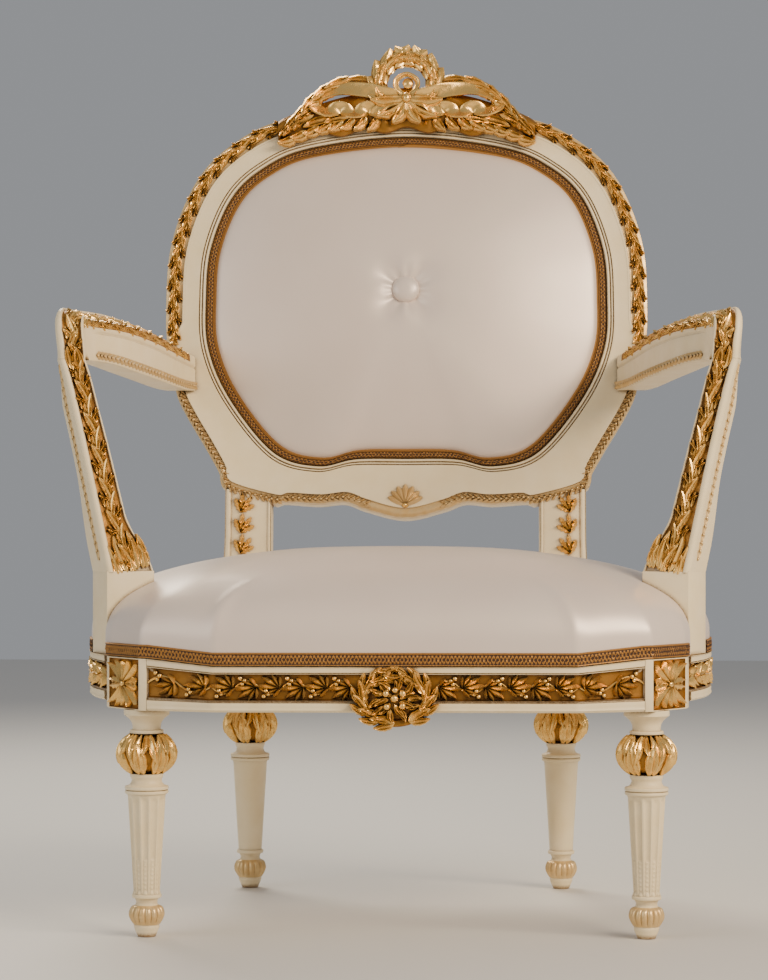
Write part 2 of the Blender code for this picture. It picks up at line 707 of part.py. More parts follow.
def crest_ornament():
    """The carved foliage, ring wreath and ribbon bow planted on the top of the frame."""
    base = FRAME_FACE + 0.0005
    top_v = OPENING_START + OPENING_HEIGHT
    columns = 22
    rows = 5
    rings = []
    for k in range(columns + 1):
        share = 2 * k / columns - 1
        u = CREST_HALF_WIDTH * share
        edge = abs(share)
        low = top_v + 0.014 - 0.020 * edge ** 2 + 0.004 * math.cos(6 * math.pi * share)
        high = top_v + 0.030 + 0.062 * (1 - edge ** 1.6) ** 0.8 + 0.006 * leaf(share + 0.02, 0.19)
        behind = base - (base + CREST_BEHIND) * ramp(CREST_HALF_WIDTH - abs(u), 0.004, 0.030)
        ledge = min(frame_top(u) + CREST_CLEARANCE, high - 0.002)
        ring = [Vector((u, -base, low)), Vector((u, -base, ledge)), Vector((u, -behind, ledge)),
                Vector((u, -behind, high))]
        for j in range(rows + 1):
            across = 1 - j / rows
            bulge = math.sin(math.pi * (0.08 + 0.84 * across)) ** 0.6
            fold = 0.5 + 0.5 * math.sin(7 * math.pi * share * (1 if share > 0 else -1) + 3.2 * across)
            depth = (CREST_DEPTH - 0.012 * edge) * bulge * (0.62 + 0.38 * fold)
            ring.append(Vector((u, -base - 0.002 - depth, low + (high - low) * across)))
        rings.append(ring)
    foliage = loft(rings)

    turns = 20
    sides = 7
    centre = top_v + CREST_RISE - WREATH_RADIUS - WREATH_TUBE
    loops = []
    for k in range(turns):
        turn = 2 * math.pi * k / turns
        tube = WREATH_TUBE * (1 + 0.12 * math.cos(10 * turn))
        ring = []
        for j in range(sides):
            bend = 2 * math.pi * j / sides
            radius = WREATH_RADIUS + tube * math.cos(bend)
            ring.append(Vector((radius * math.cos(turn), -base - 0.016 - tube * math.sin(bend),
                                centre + radius * math.sin(turn))))
        loops.append(ring)
    wreath = loft(loops, closed=True)
    add_object("crest_ornament", combined(foliage, [wreath], "UNION"), gilding, back_plane)


# Arms
# Each row says how far across, along, and down at top and bottom the arm is, from elbow to root
ARM_SHARES = [(1.0, 0.0, 0.0, 0.0), (0.92, 0.14, 0.02, 0.0), (0.60, 0.32, 0.105, 0.27),
              (0.34, 0.56, 0.36, 0.62), (0.13, 0.84, 0.75, 0.93), (0.0, 1.0, 1.0, 1.0)]


def post_corner(height_share):
    """Front outer corner, width, depth and splay of the arm post above its block, foot to elbow."""
    reach = ELBOW_X + 0.0105 - POST_FOOT.x
    foot_x = POST_FOOT.x + reach * (0.92 * height_share + 0.08 * height_share ** 6)
    foot_y = POST_FOOT.y + (ELBOW_Y - POST_FOOT.y) * height_share
    width = POST_WIDTH * (1 - 0.30 * ramp(height_share, 0, 0.28) - 0.155 * height_share)
    depth = POST_DEPTH * (1 - 0.30 * ramp(height_share, 0.1, 0.5) - 0.06 * height_share)
    splay = POST_SPLAY + (POST_TOP_SPLAY - POST_SPLAY) * ramp(height_share, 0.75, 1.0)
    return Vector((foot_x, foot_y)), width, depth, splay


def post_axes(splay):
    """The outward and forward directions of a post section whose outer side follows the side rail."""
    return Vector((math.cos(splay), -math.sin(splay))), Vector((-math.sin(splay), -math.cos(splay)))


def post_ring(corner, width, depth, splay, z, relief):
    """The post's section at a height."""
    side, ahead = post_axes(splay)
    quirk = 0.002 if relief > 0 else 0.0
    plan = [corner, corner - side * 0.006 - ahead * quirk, corner - side * width * 0.5 + ahead * relief,
            corner - side * (width - 0.002), corner - side * width - ahead * 0.003,
            corner - side * width - ahead * depth, corner - ahead * depth]
    return [Vector((p.x, p.y, z)) for p in plan]


def arm_posts():
    """The base block and the raked, carved support, one piece."""
    block_top = CORNER_TOP + POST_BLOCK_HEIGHT
    post_top = ELBOW_TOP - ARM_HEIGHT - GAP
    rings = [post_ring(*post_corner(0), z, 0) for z in (CORNER_TOP + GAP, block_top)]
    levels = 15
    for k in range(levels):
        share = (k + 0.35) / (levels - 1 + 0.35)
        rise = 0.0015 + 0.0035 * leaf(k + 0.5, 2)
        z = block_top + 0.002 + (post_top - block_top - 0.002) * share
        rings.append(post_ring(*post_corner(share), z, rise))
    add_pair("arm_post", loft(rings), paint)


def arms():
    """The arms, swept back and inwards from the elbow to the medallion frame."""
    root_u = medallion_point(math.pi / 2 - 0.25, frame_width(math.pi / 2 - 0.25))[0] - ARM_HALF_WIDTH - 0.002
    root = on_back(root_u, FRAME_FACE + GAP, (ARM_ROOT_LOW + ARM_ROOT_HIGH) / 2)
    elbow_bottom = ELBOW_TOP - ARM_HEIGHT
    fall_top = ELBOW_TOP - on_back(0, 0, ARM_ROOT_HIGH).z
    fall_bottom = elbow_bottom - on_back(0, 0, ARM_ROOT_LOW).z
    route = []
    falls = []
    for x_share, y_share, top_share, bottom_share in ARM_SHARES:
        route.append((root.x + (ELBOW_X - root.x) * x_share, ELBOW_Y + (root.y - ELBOW_Y) * y_share, 0))
        falls.append((top_share, bottom_share, 0))
    path = smooth(route, 3)
    falls = smooth(falls, 3)
    rings = []
    for k, p in enumerate(path):
        before = path[max(k - 1, 0)]
        after = path[min(k + 1, len(path) - 1)]
        direction = (after - before).normalized()
        side = Vector((direction.y, -direction.x, 0))
        top = ELBOW_TOP - fall_top * falls[k].x
        bottom = elbow_bottom - fall_bottom * max(falls[k].y, 0) * ramp(k, 2, 7)
        half = ARM_HALF_WIDTH
        wave = 0.004 * leaf(k + 0.5, 2)
        section = [(-0.9 * half, bottom), (-half, bottom + 0.011), (-0.72 * half, (top + bottom) / 2 - 0.004),
                   (-half - 0.001, top - 0.024), (-0.80 * half - 0.4 * wave, top - 0.007),
                   (0, top - 0.004 + wave), (0.8 * half, top - 0.009), (half, top - 0.028),
                   (0.9 * half, bottom + 0.010), (0.6 * half, bottom)]
        if k == 0:
            nose = [p + side * (0.8 * a) + Vector((0, -0.011, 0)) for a, _ in section]
            rings.append([Vector((q.x, q.y, min(max(z, bottom + 0.004), top - 0.010)))
                          for q, (_, z) in zip(nose, section)])
        ring = []
        for a, z in section:
            q = p + side * a
            q.z = z
            if k == len(path) - 1:
                v = (z - BACK_ORIGIN.z) / math.cos(BACK_RAKE)
                q = on_back(root.x + a, FRAME_FACE + GAP, v - (FRAME_FACE + GAP) * math.tan(BACK_RAKE))
            ring.append(q)
        rings.append(ring)
    add_pair("arm", loft(rings), paint)


# Seat upholstery
def seat_outline():
    """The upholstered seat's plan, right half from the middle of the front to the middle of the back."""
    slope = (CANT_START.y - FACE_Y) / (CANT_START.x - BEND_X)
    corner_front = Vector((BEND_X, FACE_Y))
    half = [Vector((0, FACE_Y)), Vector((BEND_X * 0.5, FACE_Y)), corner_front,
            Vector((BLOCK_INNER_X - 0.001, FACE_Y + slope * (BLOCK_INNER_X - 0.001 - BEND_X))),
            CANT_START, CANT_START.lerp(CANT_END, 0.5), CANT_END]
    half += side_face
    half.append(Vector((STILE_INNER_X, BACK_Y)))
    half.append(Vector((STILE_INNER_X / 2, BACK_Y)))
    return half


def seat_cushion():
    """The crowned seat, cut out round the arm posts and the stiles."""
    half = seat_outline()
    outline = half + [Vector((0, BACK_Y))] + [Vector((-p.x, p.y)) for p in reversed(half[1:])]
    middle = Vector((0, (FACE_Y + BACK_Y) / 2))
    levels = [(0.10, None), (1.0, 0.0), (1.0, 0.135), (0.995, 0.34), (0.95, 0.52), (0.82, 0.72),
              (0.62, 0.88), (0.36, 0.98), (0.14, 1.0)]
    edge = inset_path(outline, CUSHION_INSET, closed=True)
    rings = []
    for share, height in levels:
        ring = []
        for p, border in zip(outline, edge):
            q = middle + (border - middle) * share
            floor = GAP + (rail_top(p.x) if p.y < CANT_END.y else CORNER_TOP)
            z = CORNER_TOP + GAP if height is None else floor + (CORNER_TOP + CUSHION_CROWN - floor) * height
            ring.append(Vector((q.x, q.y, z)))
        rings.append(ring)
    corner, width, depth, splay = post_corner(0)
    side, ahead = post_axes(splay)
    near = corner + ahead * CUT_OUT
    far = corner - ahead * (depth + CUT_OUT)
    reach = side * (width + CUT_OUT)
    post_plan = [near + side * 0.04, near - reach, far - reach, far + side * 0.04]
    stile_plan = [Vector((STILE_INNER_X - 0.003 - CUT_OUT, STILE_FRONT_Y - CUT_OUT)),
                  Vector((STILE_OUTER_X + 0.003 + CUT_OUT, STILE_FRONT_Y - CUT_OUT)),
                  Vector((STILE_OUTER_X + 0.003 + CUT_OUT, BACK_Y + 0.03)),
                  Vector((STILE_INNER_X - 0.003 - CUT_OUT, BACK_Y + 0.03))]
    cutters = []
    for plan in (post_plan, stile_plan):
        for sign in (1, -1):
            cutters.append(prism([(sign * p.x, p.y) for p in plan], LEG_HEIGHT, CORNER_TOP + 0.2))
    add_object("seat_cushion", combined(loft(rings), cutters, "DIFFERENCE"), satin)


def gimp_strip(name, path, tops, pair):
    """A length of braid along the foot of the upholstery."""
    inner = inset_path(path, CUSHION_INSET - GAP)
    outer = inset_path(path, CUSHION_INSET - GAP - GIMP_THICKNESS)
    rings = []
    for p, q, low in zip(inner, outer, tops):
        low += GAP
        high = low + SEAT_GIMP_HEIGHT
        rings.append([Vector((p.x, p.y, low)), Vector((q.x, q.y, low)),
                      Vector((q.x, q.y, high)), Vector((p.x, p.y, high))])
    bm = loft(rings)
    if pair:
        add_pair(name, bm, braid)
    else:
        add_object(name, bm, braid)


def seat_gimp():
    """Braid along the front between the posts, along each side behind them, and across the back."""
    corner, width, depth, splay = post_corner(0)
    slope = (CANT_START.y - FACE_Y) / (CANT_START.x - BEND_X)
    half = [Vector((BEND_X * k / 3, FACE_Y)) for k in range(4)]
    half += [Vector((x, FACE_Y + slope * (x - BEND_X)))
             for x in (BEND_X + 0.03, BEND_X + 0.06, BLOCK_INNER_X - 0.001, CANT_START.x)]
    half += [CANT_START.lerp(CANT_END, 0.5), CANT_END, CANT_END.lerp(side_start, 0.7)]
    front = [Vector((-p.x, p.y)) for p in reversed(half[1:])] + half
    gimp_strip("seat_gimp_front", front, [rail_top(p.x) for p in front], False)
    first = corner.y + depth * math.cos(splay) + 0.006
    last = STILE_FRONT_Y - 0.010
    bounds = [p for p in resample(side_face, 200) if first < p.y < last]
    side = [bounds[0], *(p for p in side_face if bounds[0].y + 0.002 < p.y < bounds[-1].y - 0.002), bounds[-1]]
    gimp_strip("seat_gimp_side", side, [CORNER_TOP] * len(side), True)
    reach = STILE_INNER_X - 0.005
    back = [Vector((reach, BACK_Y)), Vector((-reach, BACK_Y))]
    gimp_strip("seat_gimp_back", back, [CORNER_TOP] * 2, False)


front_rail()
side_rails()
back_rail()
front_cartouche()
front_legs()
back_legs()
back_frame()
back_upholstery()
crest_ornament()
arm_posts()
arms()
seat_cushion()
seat_gimp()


# Stand the chair on the middle of its own footprint
bpy.context.view_layer.update()
corners = [piece.matrix_world @ vert.co for piece in chair.objects if piece.type == "MESH"
           for vert in piece.data.vertices]
low_y = min(c.y for c in corners)
high_y = max(c.y for c in corners)
ground.location = (0, -(low_y + high_y) / 2, -min(c.z for c in corners))
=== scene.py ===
import math

import bmesh
import bpy
from mathutils import Matrix, Vector


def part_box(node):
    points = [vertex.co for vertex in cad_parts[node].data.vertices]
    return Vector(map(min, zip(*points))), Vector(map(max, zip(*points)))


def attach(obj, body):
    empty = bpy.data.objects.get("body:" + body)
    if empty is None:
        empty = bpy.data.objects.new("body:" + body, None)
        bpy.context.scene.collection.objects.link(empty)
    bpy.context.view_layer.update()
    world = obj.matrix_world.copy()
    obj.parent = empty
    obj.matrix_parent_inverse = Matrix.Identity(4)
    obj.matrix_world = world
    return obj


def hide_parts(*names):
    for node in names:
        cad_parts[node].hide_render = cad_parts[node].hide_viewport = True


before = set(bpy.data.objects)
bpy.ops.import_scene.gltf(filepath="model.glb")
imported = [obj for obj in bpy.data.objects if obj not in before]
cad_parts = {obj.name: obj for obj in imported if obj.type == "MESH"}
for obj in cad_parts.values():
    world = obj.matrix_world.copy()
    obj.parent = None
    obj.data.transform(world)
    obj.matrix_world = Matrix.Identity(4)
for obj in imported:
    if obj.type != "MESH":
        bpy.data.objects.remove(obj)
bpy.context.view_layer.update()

# Front legs. Turned and carved beech, painted cream and parcel-gilt: a leaf-carved ball, a shaft with twelve
# flutes filled with husks at the foot, and a gadrooned toe. The corner block above is cut from the same
# billet, and its canted face is carved with crossed acanthus leaves.
LEG_HEIGHT = 0.279
FRONT_LEG_X = 0.3065
BACK_LEG_X = 0.2145
LEG_SPACING = 0.480
FLUTES = 12
FLUTE_DEPTH = 0.0026
BALL_RADIUS = 0.0325
BALL_HALF_HEIGHT = 0.0255
BALL_CENTRE = 0.2243
LEAF_RISE = 0.0064
RAIL_TOP = 0.3345
CORNER_TOP = 0.3425
BLOCK_INNER_X = 0.3030
CANT_START = Vector((0.3125, -0.0330))
CANT_END = Vector((0.3565, 0.0240))
BLOCK_BACK = Vector((0.3610, 0.0440))
BACK_Y = 0.508
CHAIR_TO_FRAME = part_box("back_rail")[1].y - BACK_Y
# The hair's breadth that neighbouring pieces leave between them, as the solids do
SEAM = 0.0003


def linear(code):
    """An sRGB hex colour as the linear colour a shader takes."""
    channels = [int(code[i:i + 2], 16) / 255 for i in (1, 3, 5)]
    return (*(c / 12.92 if c <= 0.04045 else ((c + 0.055) / 1.055) ** 2.4 for c in channels), 1.0)


def set_inputs(tree, node, inputs):
    """Gives each named input of a node a value or another node's output."""
    for name, value in inputs.items():
        if isinstance(value, bpy.types.NodeSocket):
            tree.links.new(value, node.inputs[name])
        else:
            node.inputs[name].default_value = value


def add_node(tree, kind, inputs=None, **settings):
    """A node with its settings and its inputs."""
    made = tree.nodes.new(kind)
    for name, value in settings.items():
        setattr(made, name, value)
    set_inputs(tree, made, inputs or {})
    return made


def new_finish(name):
    """An empty material with its node tree, shader and Object coordinates."""
    finish = bpy.data.materials.new(name)
    finish.use_nodes = True
    tree = finish.node_tree
    place = add_node(tree, "ShaderNodeTexCoord").outputs["Object"]
    return finish, tree, tree.nodes["Principled BSDF"], place


def recesses(tree, reach, low, high):
    """The mask for painted shade, from ambient occlusion: 1 deep in the carving and 0 out on the open surface."""
    shade = add_node(tree, "ShaderNodeAmbientOcclusion", {"Distance": reach}, samples=8)
    return add_node(tree, "ShaderNodeMapRange", {
        "Value": shade.outputs["AO"], "From Min": low, "From Max": high, "To Min": 1.0, "To Max": 0.0,
    }).outputs["Result"]


def cream_paint():
    """Beech painted in warm ivory over gesso, with a faint unevenness on the open faces and painted shade, umber
    brown, in the carving's recesses; brushed by hand, so half gloss with soft streaks."""
    finish, tree, shader, place = new_finish("ivory_paint_with_painted_shade")
    clouds = add_node(tree, "ShaderNodeTexNoise", {"Vector": place, "Scale": 38.0, "Detail": 5.0}).outputs["Fac"]
    grit = add_node(tree, "ShaderNodeTexNoise", {"Vector": place, "Scale": 420.0, "Detail": 3.0}).outputs["Fac"]
    hollow = recesses(tree, 0.007, 0.50, 0.93)
    ivory = add_node(tree, "ShaderNodeMix", {"Factor": clouds, "A": linear("#F6E7C4"), "B": linear("#EAD5A6")},
                     data_type="RGBA")
    patchy = add_node(tree, "ShaderNodeMapRange", {"Value": grit, "From Min": 0.3, "From Max": 0.7, "To Min": 0.55,
                                                   "To Max": 1.0})
    # Painted shade: umber brown mixed in where ambient occlusion is deep, broken up by fine noise.
    patchy_shade = add_node(tree, "ShaderNodeMath", {0: hollow, 1: patchy.outputs["Result"]}, operation="MULTIPLY")
    shaded_ivory = add_node(tree, "ShaderNodeMix", {"Factor": patchy_shade.outputs["Value"], "A": ivory.outputs["Result"],
                                             "B": linear("#6E4A22")}, data_type="RGBA")
    rough = add_node(tree, "ShaderNodeMapRange", {"Value": clouds, "To Min": 0.34, "To Max": 0.52})
    relief = add_node(tree, "ShaderNodeBump", {"Height": grit, "Strength": 0.12, "Distance": 0.0006})
    set_inputs(tree, shader, {"Base Color": shaded_ivory.outputs["Result"], "Roughness": rough.outputs["Result"],
                              "Normal": relief.outputs["Normal"]})
    return finish


def gold_leaf(name, high, low, shade_colour, metal, rough, reach):
    """Gold leaf on gesso and red bole, with patches of rubbing and with brown painted shade in the recesses."""
    finish, tree, shader, place = new_finish(name)
    patches = add_node(tree, "ShaderNodeTexNoise", {"Vector": place, "Scale": 95.0, "Detail": 6.0,
                                                    "Roughness": 0.6}).outputs["Fac"]
    hammer = add_node(tree, "ShaderNodeTexNoise", {"Vector": place, "Scale": 620.0, "Detail": 2.0})
    hollow = recesses(tree, reach, 0.26, 0.82)
    unshaded_leaf = add_node(tree, "ShaderNodeMix", {"Factor": patches, "A": linear(high), "B": linear(low)},
                     data_type="RGBA")
    # Painted shade: the shade colour mixed in where ambient occlusion is deep.
    shaded_leaf = add_node(tree, "ShaderNodeMix", {"Factor": hollow, "A": unshaded_leaf.outputs["Result"], "B": linear(shade_colour)},
                     data_type="RGBA")
    sheen = add_node(tree, "ShaderNodeMapRange", {"Value": patches, "From Min": 0.35, "From Max": 0.7,
                                                  "To Min": rough - 0.10, "To Max": rough + 0.10})
    relief = add_node(tree, "ShaderNodeBump", {"Height": hammer.outputs["Fac"], "Strength": 0.20,
                                               "Distance": 0.0007})
    set_inputs(tree, shader, {"Base Color": shaded_leaf.outputs["Result"], "Metallic": metal,
                              "Roughness": sheen.outputs["Result"], "Normal": relief.outputs["Normal"]})
    return finish


ivory_paint = cream_paint()
# Burnished leaf on the high carving: bright warm glints against dark lines of painted shade.
gilding = gold_leaf("burnished_gold_leaf_on_bole", "#FFDC8E", "#EBB255", "#40230B", 0.84, 0.28, 0.005)
# Matt leaf on the punched grounds behind the carving, coloured browner and darker as painted shade, so that the
# leaves stand out.
shaded_ground_gilding = gold_leaf("matt_gilding_with_painted_shade", "#B98536", "#7E511D", "#2C1606", 0.70, 0.44, 0.010)
# Leaf rubbed through to the ivory on the small chains: pale gold, with brown painted shade in every quirk.
rubbed_gilding = gold_leaf("gold_leaf_rubbed_to_ivory", "#EBD3A0", "#CFA35B", "#4A2B10", 0.45, 0.38, 0.004)
carved_finishes = [ivory_paint, gilding, shaded_ground_gilding, rubbed_gilding]
# GROUND marks the grounds behind the carving, which take the gilding darkened as painted shade.
PAINT, GILT, GROUND, RUBBED = range(4)


def smooth(points, steps, closed=False):
    """Points along a curve through the given ones; a point given twice stays a corner."""
    points = [Vector(p) for p in points]
    count = len(points)
    curve = []
    for i in range(count if closed else count - 1):
        if closed:
            p0, p1, p2, p3 = (points[(i + k) % count] for k in (-1, 0, 1, 2))
        else:
            p0, p1, p2, p3 = (points[min(max(i + k, 0), count - 1)] for k in (-1, 0, 1, 2))
        if (p2 - p1).length < 1e-7:
            curve += [p1.copy() for _ in range(steps)]
            continue
        for k in range(steps):
            t = k / steps
            curve.append(0.5 * (2 * p1 + (p2 - p0) * t + (2 * p0 - 5 * p1 + 4 * p2 - p3) * t * t
                                + (3 * p1 - p0 - 3 * p2 + p3) * t ** 3))
    if not closed:
        curve.append(points[-1])
    return curve


def at_share(curve, share):
    """The point a share of the way along a list of points, counted by points."""
    place = min(max(share, 0), 1) * (len(curve) - 1)
    k = min(int(place), len(curve) - 2)
    return curve[k].lerp(curve[k + 1], place - k)


def lengths_along(path):
    """The distance from the start of a path to each of its points."""
    lengths = [0.0]
    for a, b in zip(path, path[1:]):
        lengths.append(lengths[-1] + (b - a).length)
    return lengths


def resample(path, count):
    """The given number of evenly spaced points along a path."""
    lengths = lengths_along(path)
    result = []
    k = 0
    for i in range(count):
        target = lengths[-1] * i / (count - 1)
        while k < len(path) - 2 and lengths[k + 1] < target:
            k += 1
        share = (target - lengths[k]) / max(lengths[k + 1] - lengths[k], 1e-9)
        result.append(path[k].lerp(path[k + 1], min(share, 1)))
    return result


def ramp(value, low, high):
    """0 below low, 1 above high and a smooth rise between."""
    t = min(max((value - low) / (high - low), 0), 1)
    return t * t * (3 - 2 * t)


def turned(profile, segments):
    """A body turned about Z from (radius, height) pairs that start and end on the axis."""
    bm = bmesh.new()
    verts = [bm.verts.new((max(p[0], 0), 0, p[1])) for p in profile]
    edges = [bm.edges.new(pair) for pair in zip(verts, verts[1:])]
    bmesh.ops.spin(bm, geom=verts + edges, axis=(0, 0, 1), cent=(0, 0, 0), angle=2 * math.pi, steps=segments,
                   use_merge=True)
    bmesh.ops.remove_doubles(bm, verts=bm.verts, dist=0.000002)
    return bm


def skin(across, along, place, gilt=None):
    """A carved body: a grid bent round so that each corner goes where place puts its two shares."""
    bm = bmesh.new()
    bmesh.ops.create_grid(bm, x_segments=across, y_segments=along, size=0.5)
    for face in bm.faces:
        middle = face.calc_center_median()
        face.material_index = int(gilt(middle.x + 0.5, middle.y + 0.5)) if gilt else PAINT
    for vert in bm.verts:
        vert.co = place(vert.co.x + 0.5, vert.co.y + 0.5)
    bmesh.ops.remove_doubles(bm, verts=bm.verts, dist=0.000002)
    bmesh.ops.holes_fill(bm, edges=[edge for edge in bm.edges if edge.is_boundary], sides=0)
    return bm


def leaf_blank(across, along, shape):
    """A gilded leaf, root at 0 and tip at 1 on X. Shape gives its surface from the shares along and across it,
    and its edge has a skirt that sinks in the ground."""
    bm = bmesh.new()
    bmesh.ops.create_grid(bm, x_segments=along, y_segments=across, size=0.5)
    skirt = bmesh.ops.extrude_edge_only(bm, edges=[edge for edge in bm.edges if edge.is_boundary])
    sunk = {item for item in skirt["geom"] if isinstance(item, bmesh.types.BMVert)}
    bmesh.ops.holes_fill(bm, edges=[edge for edge in bm.edges if edge.is_boundary], sides=0)
    for vert in bm.verts:
        x, y, rise = shape(vert.co.x + 0.5, vert.co.y * 2)
        vert.co = (x, y, -0.25 if vert in sunk else rise)
    for face in bm.faces:
        face.material_index = GILT
    return bm


def carved_leaf(across, along, lobes, curl):
    """A cupped leaf with a rib, its edge cut in lobes or left plain."""
    cup = 0.55

    def shape(t, q):
        notch = (0.5 - 0.5 * math.cos(2 * math.pi * lobes * t)) if lobes else 0
        half = 0.5 * (0.10 + 0.90 * math.sin(math.pi * t ** 0.8) ** 0.7 if 0 < t < 1 else 0.10)
        rise = cup * (1 - q * q) + 0.35 * max(0, 1 - abs(q) * 3) + curl * t ** 2.2
        rise += 0.5 * cup * (1 - notch) * abs(q) if lobes else 0
        return t + 0.10 * abs(q) * math.sin(math.pi * t), q * half * (1 - 0.30 * notch * abs(q)), rise

    return leaf_blank(across, along, shape)


def swept_leaf():
    """A long leaf that swings to one side, reeded along its length, with a softly scalloped edge."""
    def shape(t, q):
        half = 0.5 * (0.14 + 0.86 * math.sin(math.pi * t ** 0.72) ** 0.75) if 0 < t < 1 else 0.06
        half *= 1 - 0.13 * abs(q) * (0.5 - 0.5 * math.cos(8 * math.pi * t))
        rise = 0.62 * (1 - q * q) ** 0.5 + 0.17 * math.cos(3 * math.pi * q) * math.sin(math.pi * t) + 0.30 * t ** 3
        return t + 0.06 * abs(q) * math.sin(math.pi * t), q * half + 0.55 * (t * t - 0.35 * t), rise

    return leaf_blank(10, 14, shape)


def berry():
    """A carved berry of radius 1."""
    bm = bmesh.new()
    bmesh.ops.create_uvsphere(bm, u_segments=8, v_segments=5, radius=1.0)
    for face in bm.faces:
        face.material_index = GILT
    return bm


laurel_leaf = carved_leaf(4, 7, 0, 0.18)
acanthus_leaf = carved_leaf(8, 16, 4, 0.30)
curled_leaf = swept_leaf()
round_berry = berry()


def plant(bm, ornament, wrap=None, finish=None):
    """Adds a copy of an ornament or a part to a body, with each corner where wrap puts it."""
    copy = ornament.copy()
    if finish is not None:
        for face in copy.faces:
            face.material_index = finish
    for vert in copy.verts if wrap else ():
        vert.co = wrap(vert.co)
    mesh = bpy.data.meshes.new("ornament")
    copy.to_mesh(mesh)
    bm.from_mesh(mesh)
    bpy.data.meshes.remove(mesh)
    copy.free()


def laid(at, along, outward, length, width, rise, turn=0.0):
    """A wrap that lays a unit ornament down at a point, its X along the given way turned about the outward one."""
    outward = outward.normalized()
    along = (along - outward * along.dot(outward)).normalized()
    along = Matrix.Rotation(turn, 3, outward) @ along
    side = outward.cross(along)
    return lambda p: at + along * (p.x * length) + side * (p.y * width) + outward * (p.z * rise)


def bent(station, length_of_run, start, across, length, width, rise, turn):
    """A wrap that lays a unit ornament on a curved run, so that it bends with it; a minus width mirrors it."""
    cosine, sine = math.cos(turn), math.sin(turn)

    def wrap(p):
        x, y = p.x * length, p.y * width
        at, way, outward = station(min(max(start + (x * cosine - y * sine) / length_of_run, 0), 1))
        side = outward.cross(way).normalized()
        return at + side * (across + x * sine + y * cosine) + outward.normalized() * (p.z * rise)

    return wrap


def foliage(bm, station, count, band, length, rise):
    """Running foliage along a band: reeded leaves that swing to one side and the other."""
    run = lengths_along([station(k / 40)[0] for k in range(41)])[-1]
    for k in range(count):
        t = k / count
        way = 1 if k % 2 else -1
        room = min(length, (1 - t) * run)
        for across, reach, wide, turn in ((-0.16, 1.0, 0.60, 0.16), (0.10, 0.72, 0.42, -0.34),
                                          (-0.10, 0.55, 0.34, 0.62), (0.30, 0.50, 0.30, -0.02)):
            plant(bm, curled_leaf, bent(station, run, t, way * band * across, room * reach, way * band * wide,
                                        rise * (0.7 + 0.3 * reach), way * turn))


def husks(bm, station, count, width):
    """A chain of husks: small cupped leaves in pairs with a bead between."""
    for k in range(count):
        at, along, outward = station((k + 0.5) / count)
        for turn in (0.55, -0.55):
            plant(bm, laurel_leaf, laid(at, along, outward, width * 0.95, width * 0.46, 0.0034, turn), RUBBED)
        plant(bm, round_berry, laid(at + outward * 0.0012, along, outward, 0.0023, 0.0019, 0.0020), RUBBED)


def fitted(name, bm, finishes, node, crease=42):
    """A finished piece in the row frame, with its finishes and the node that it stands for."""
    bmesh.ops.translate(bm, vec=(0, CHAIR_TO_FRAME, 0), verts=bm.verts)
    bmesh.ops.recalc_face_normals(bm, faces=bm.faces)
    mesh = bpy.data.meshes.new(name)
    bm.to_mesh(mesh)
    bm.free()
    mesh.shade_smooth()
    mesh.set_sharp_from_angle(angle=math.radians(crease))
    for finish in finishes:
        mesh.materials.append(finish)
    piece = bpy.data.objects.new(name, mesh)
    bpy.context.scene.collection.objects.link(piece)
    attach(piece, "root")
    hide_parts(node)
    return piece


def fitted_pair(name, bm, node):
    """The right-hand carved piece and its mirror image on the left."""
    other = bm.copy()
    bmesh.ops.scale(other, vec=(-1, 1, 1), verts=other.verts)
    fitted(name + "_right", bm, carved_finishes, node + "_right")
    fitted(name + "_left", other, carved_finishes, node + "_left")


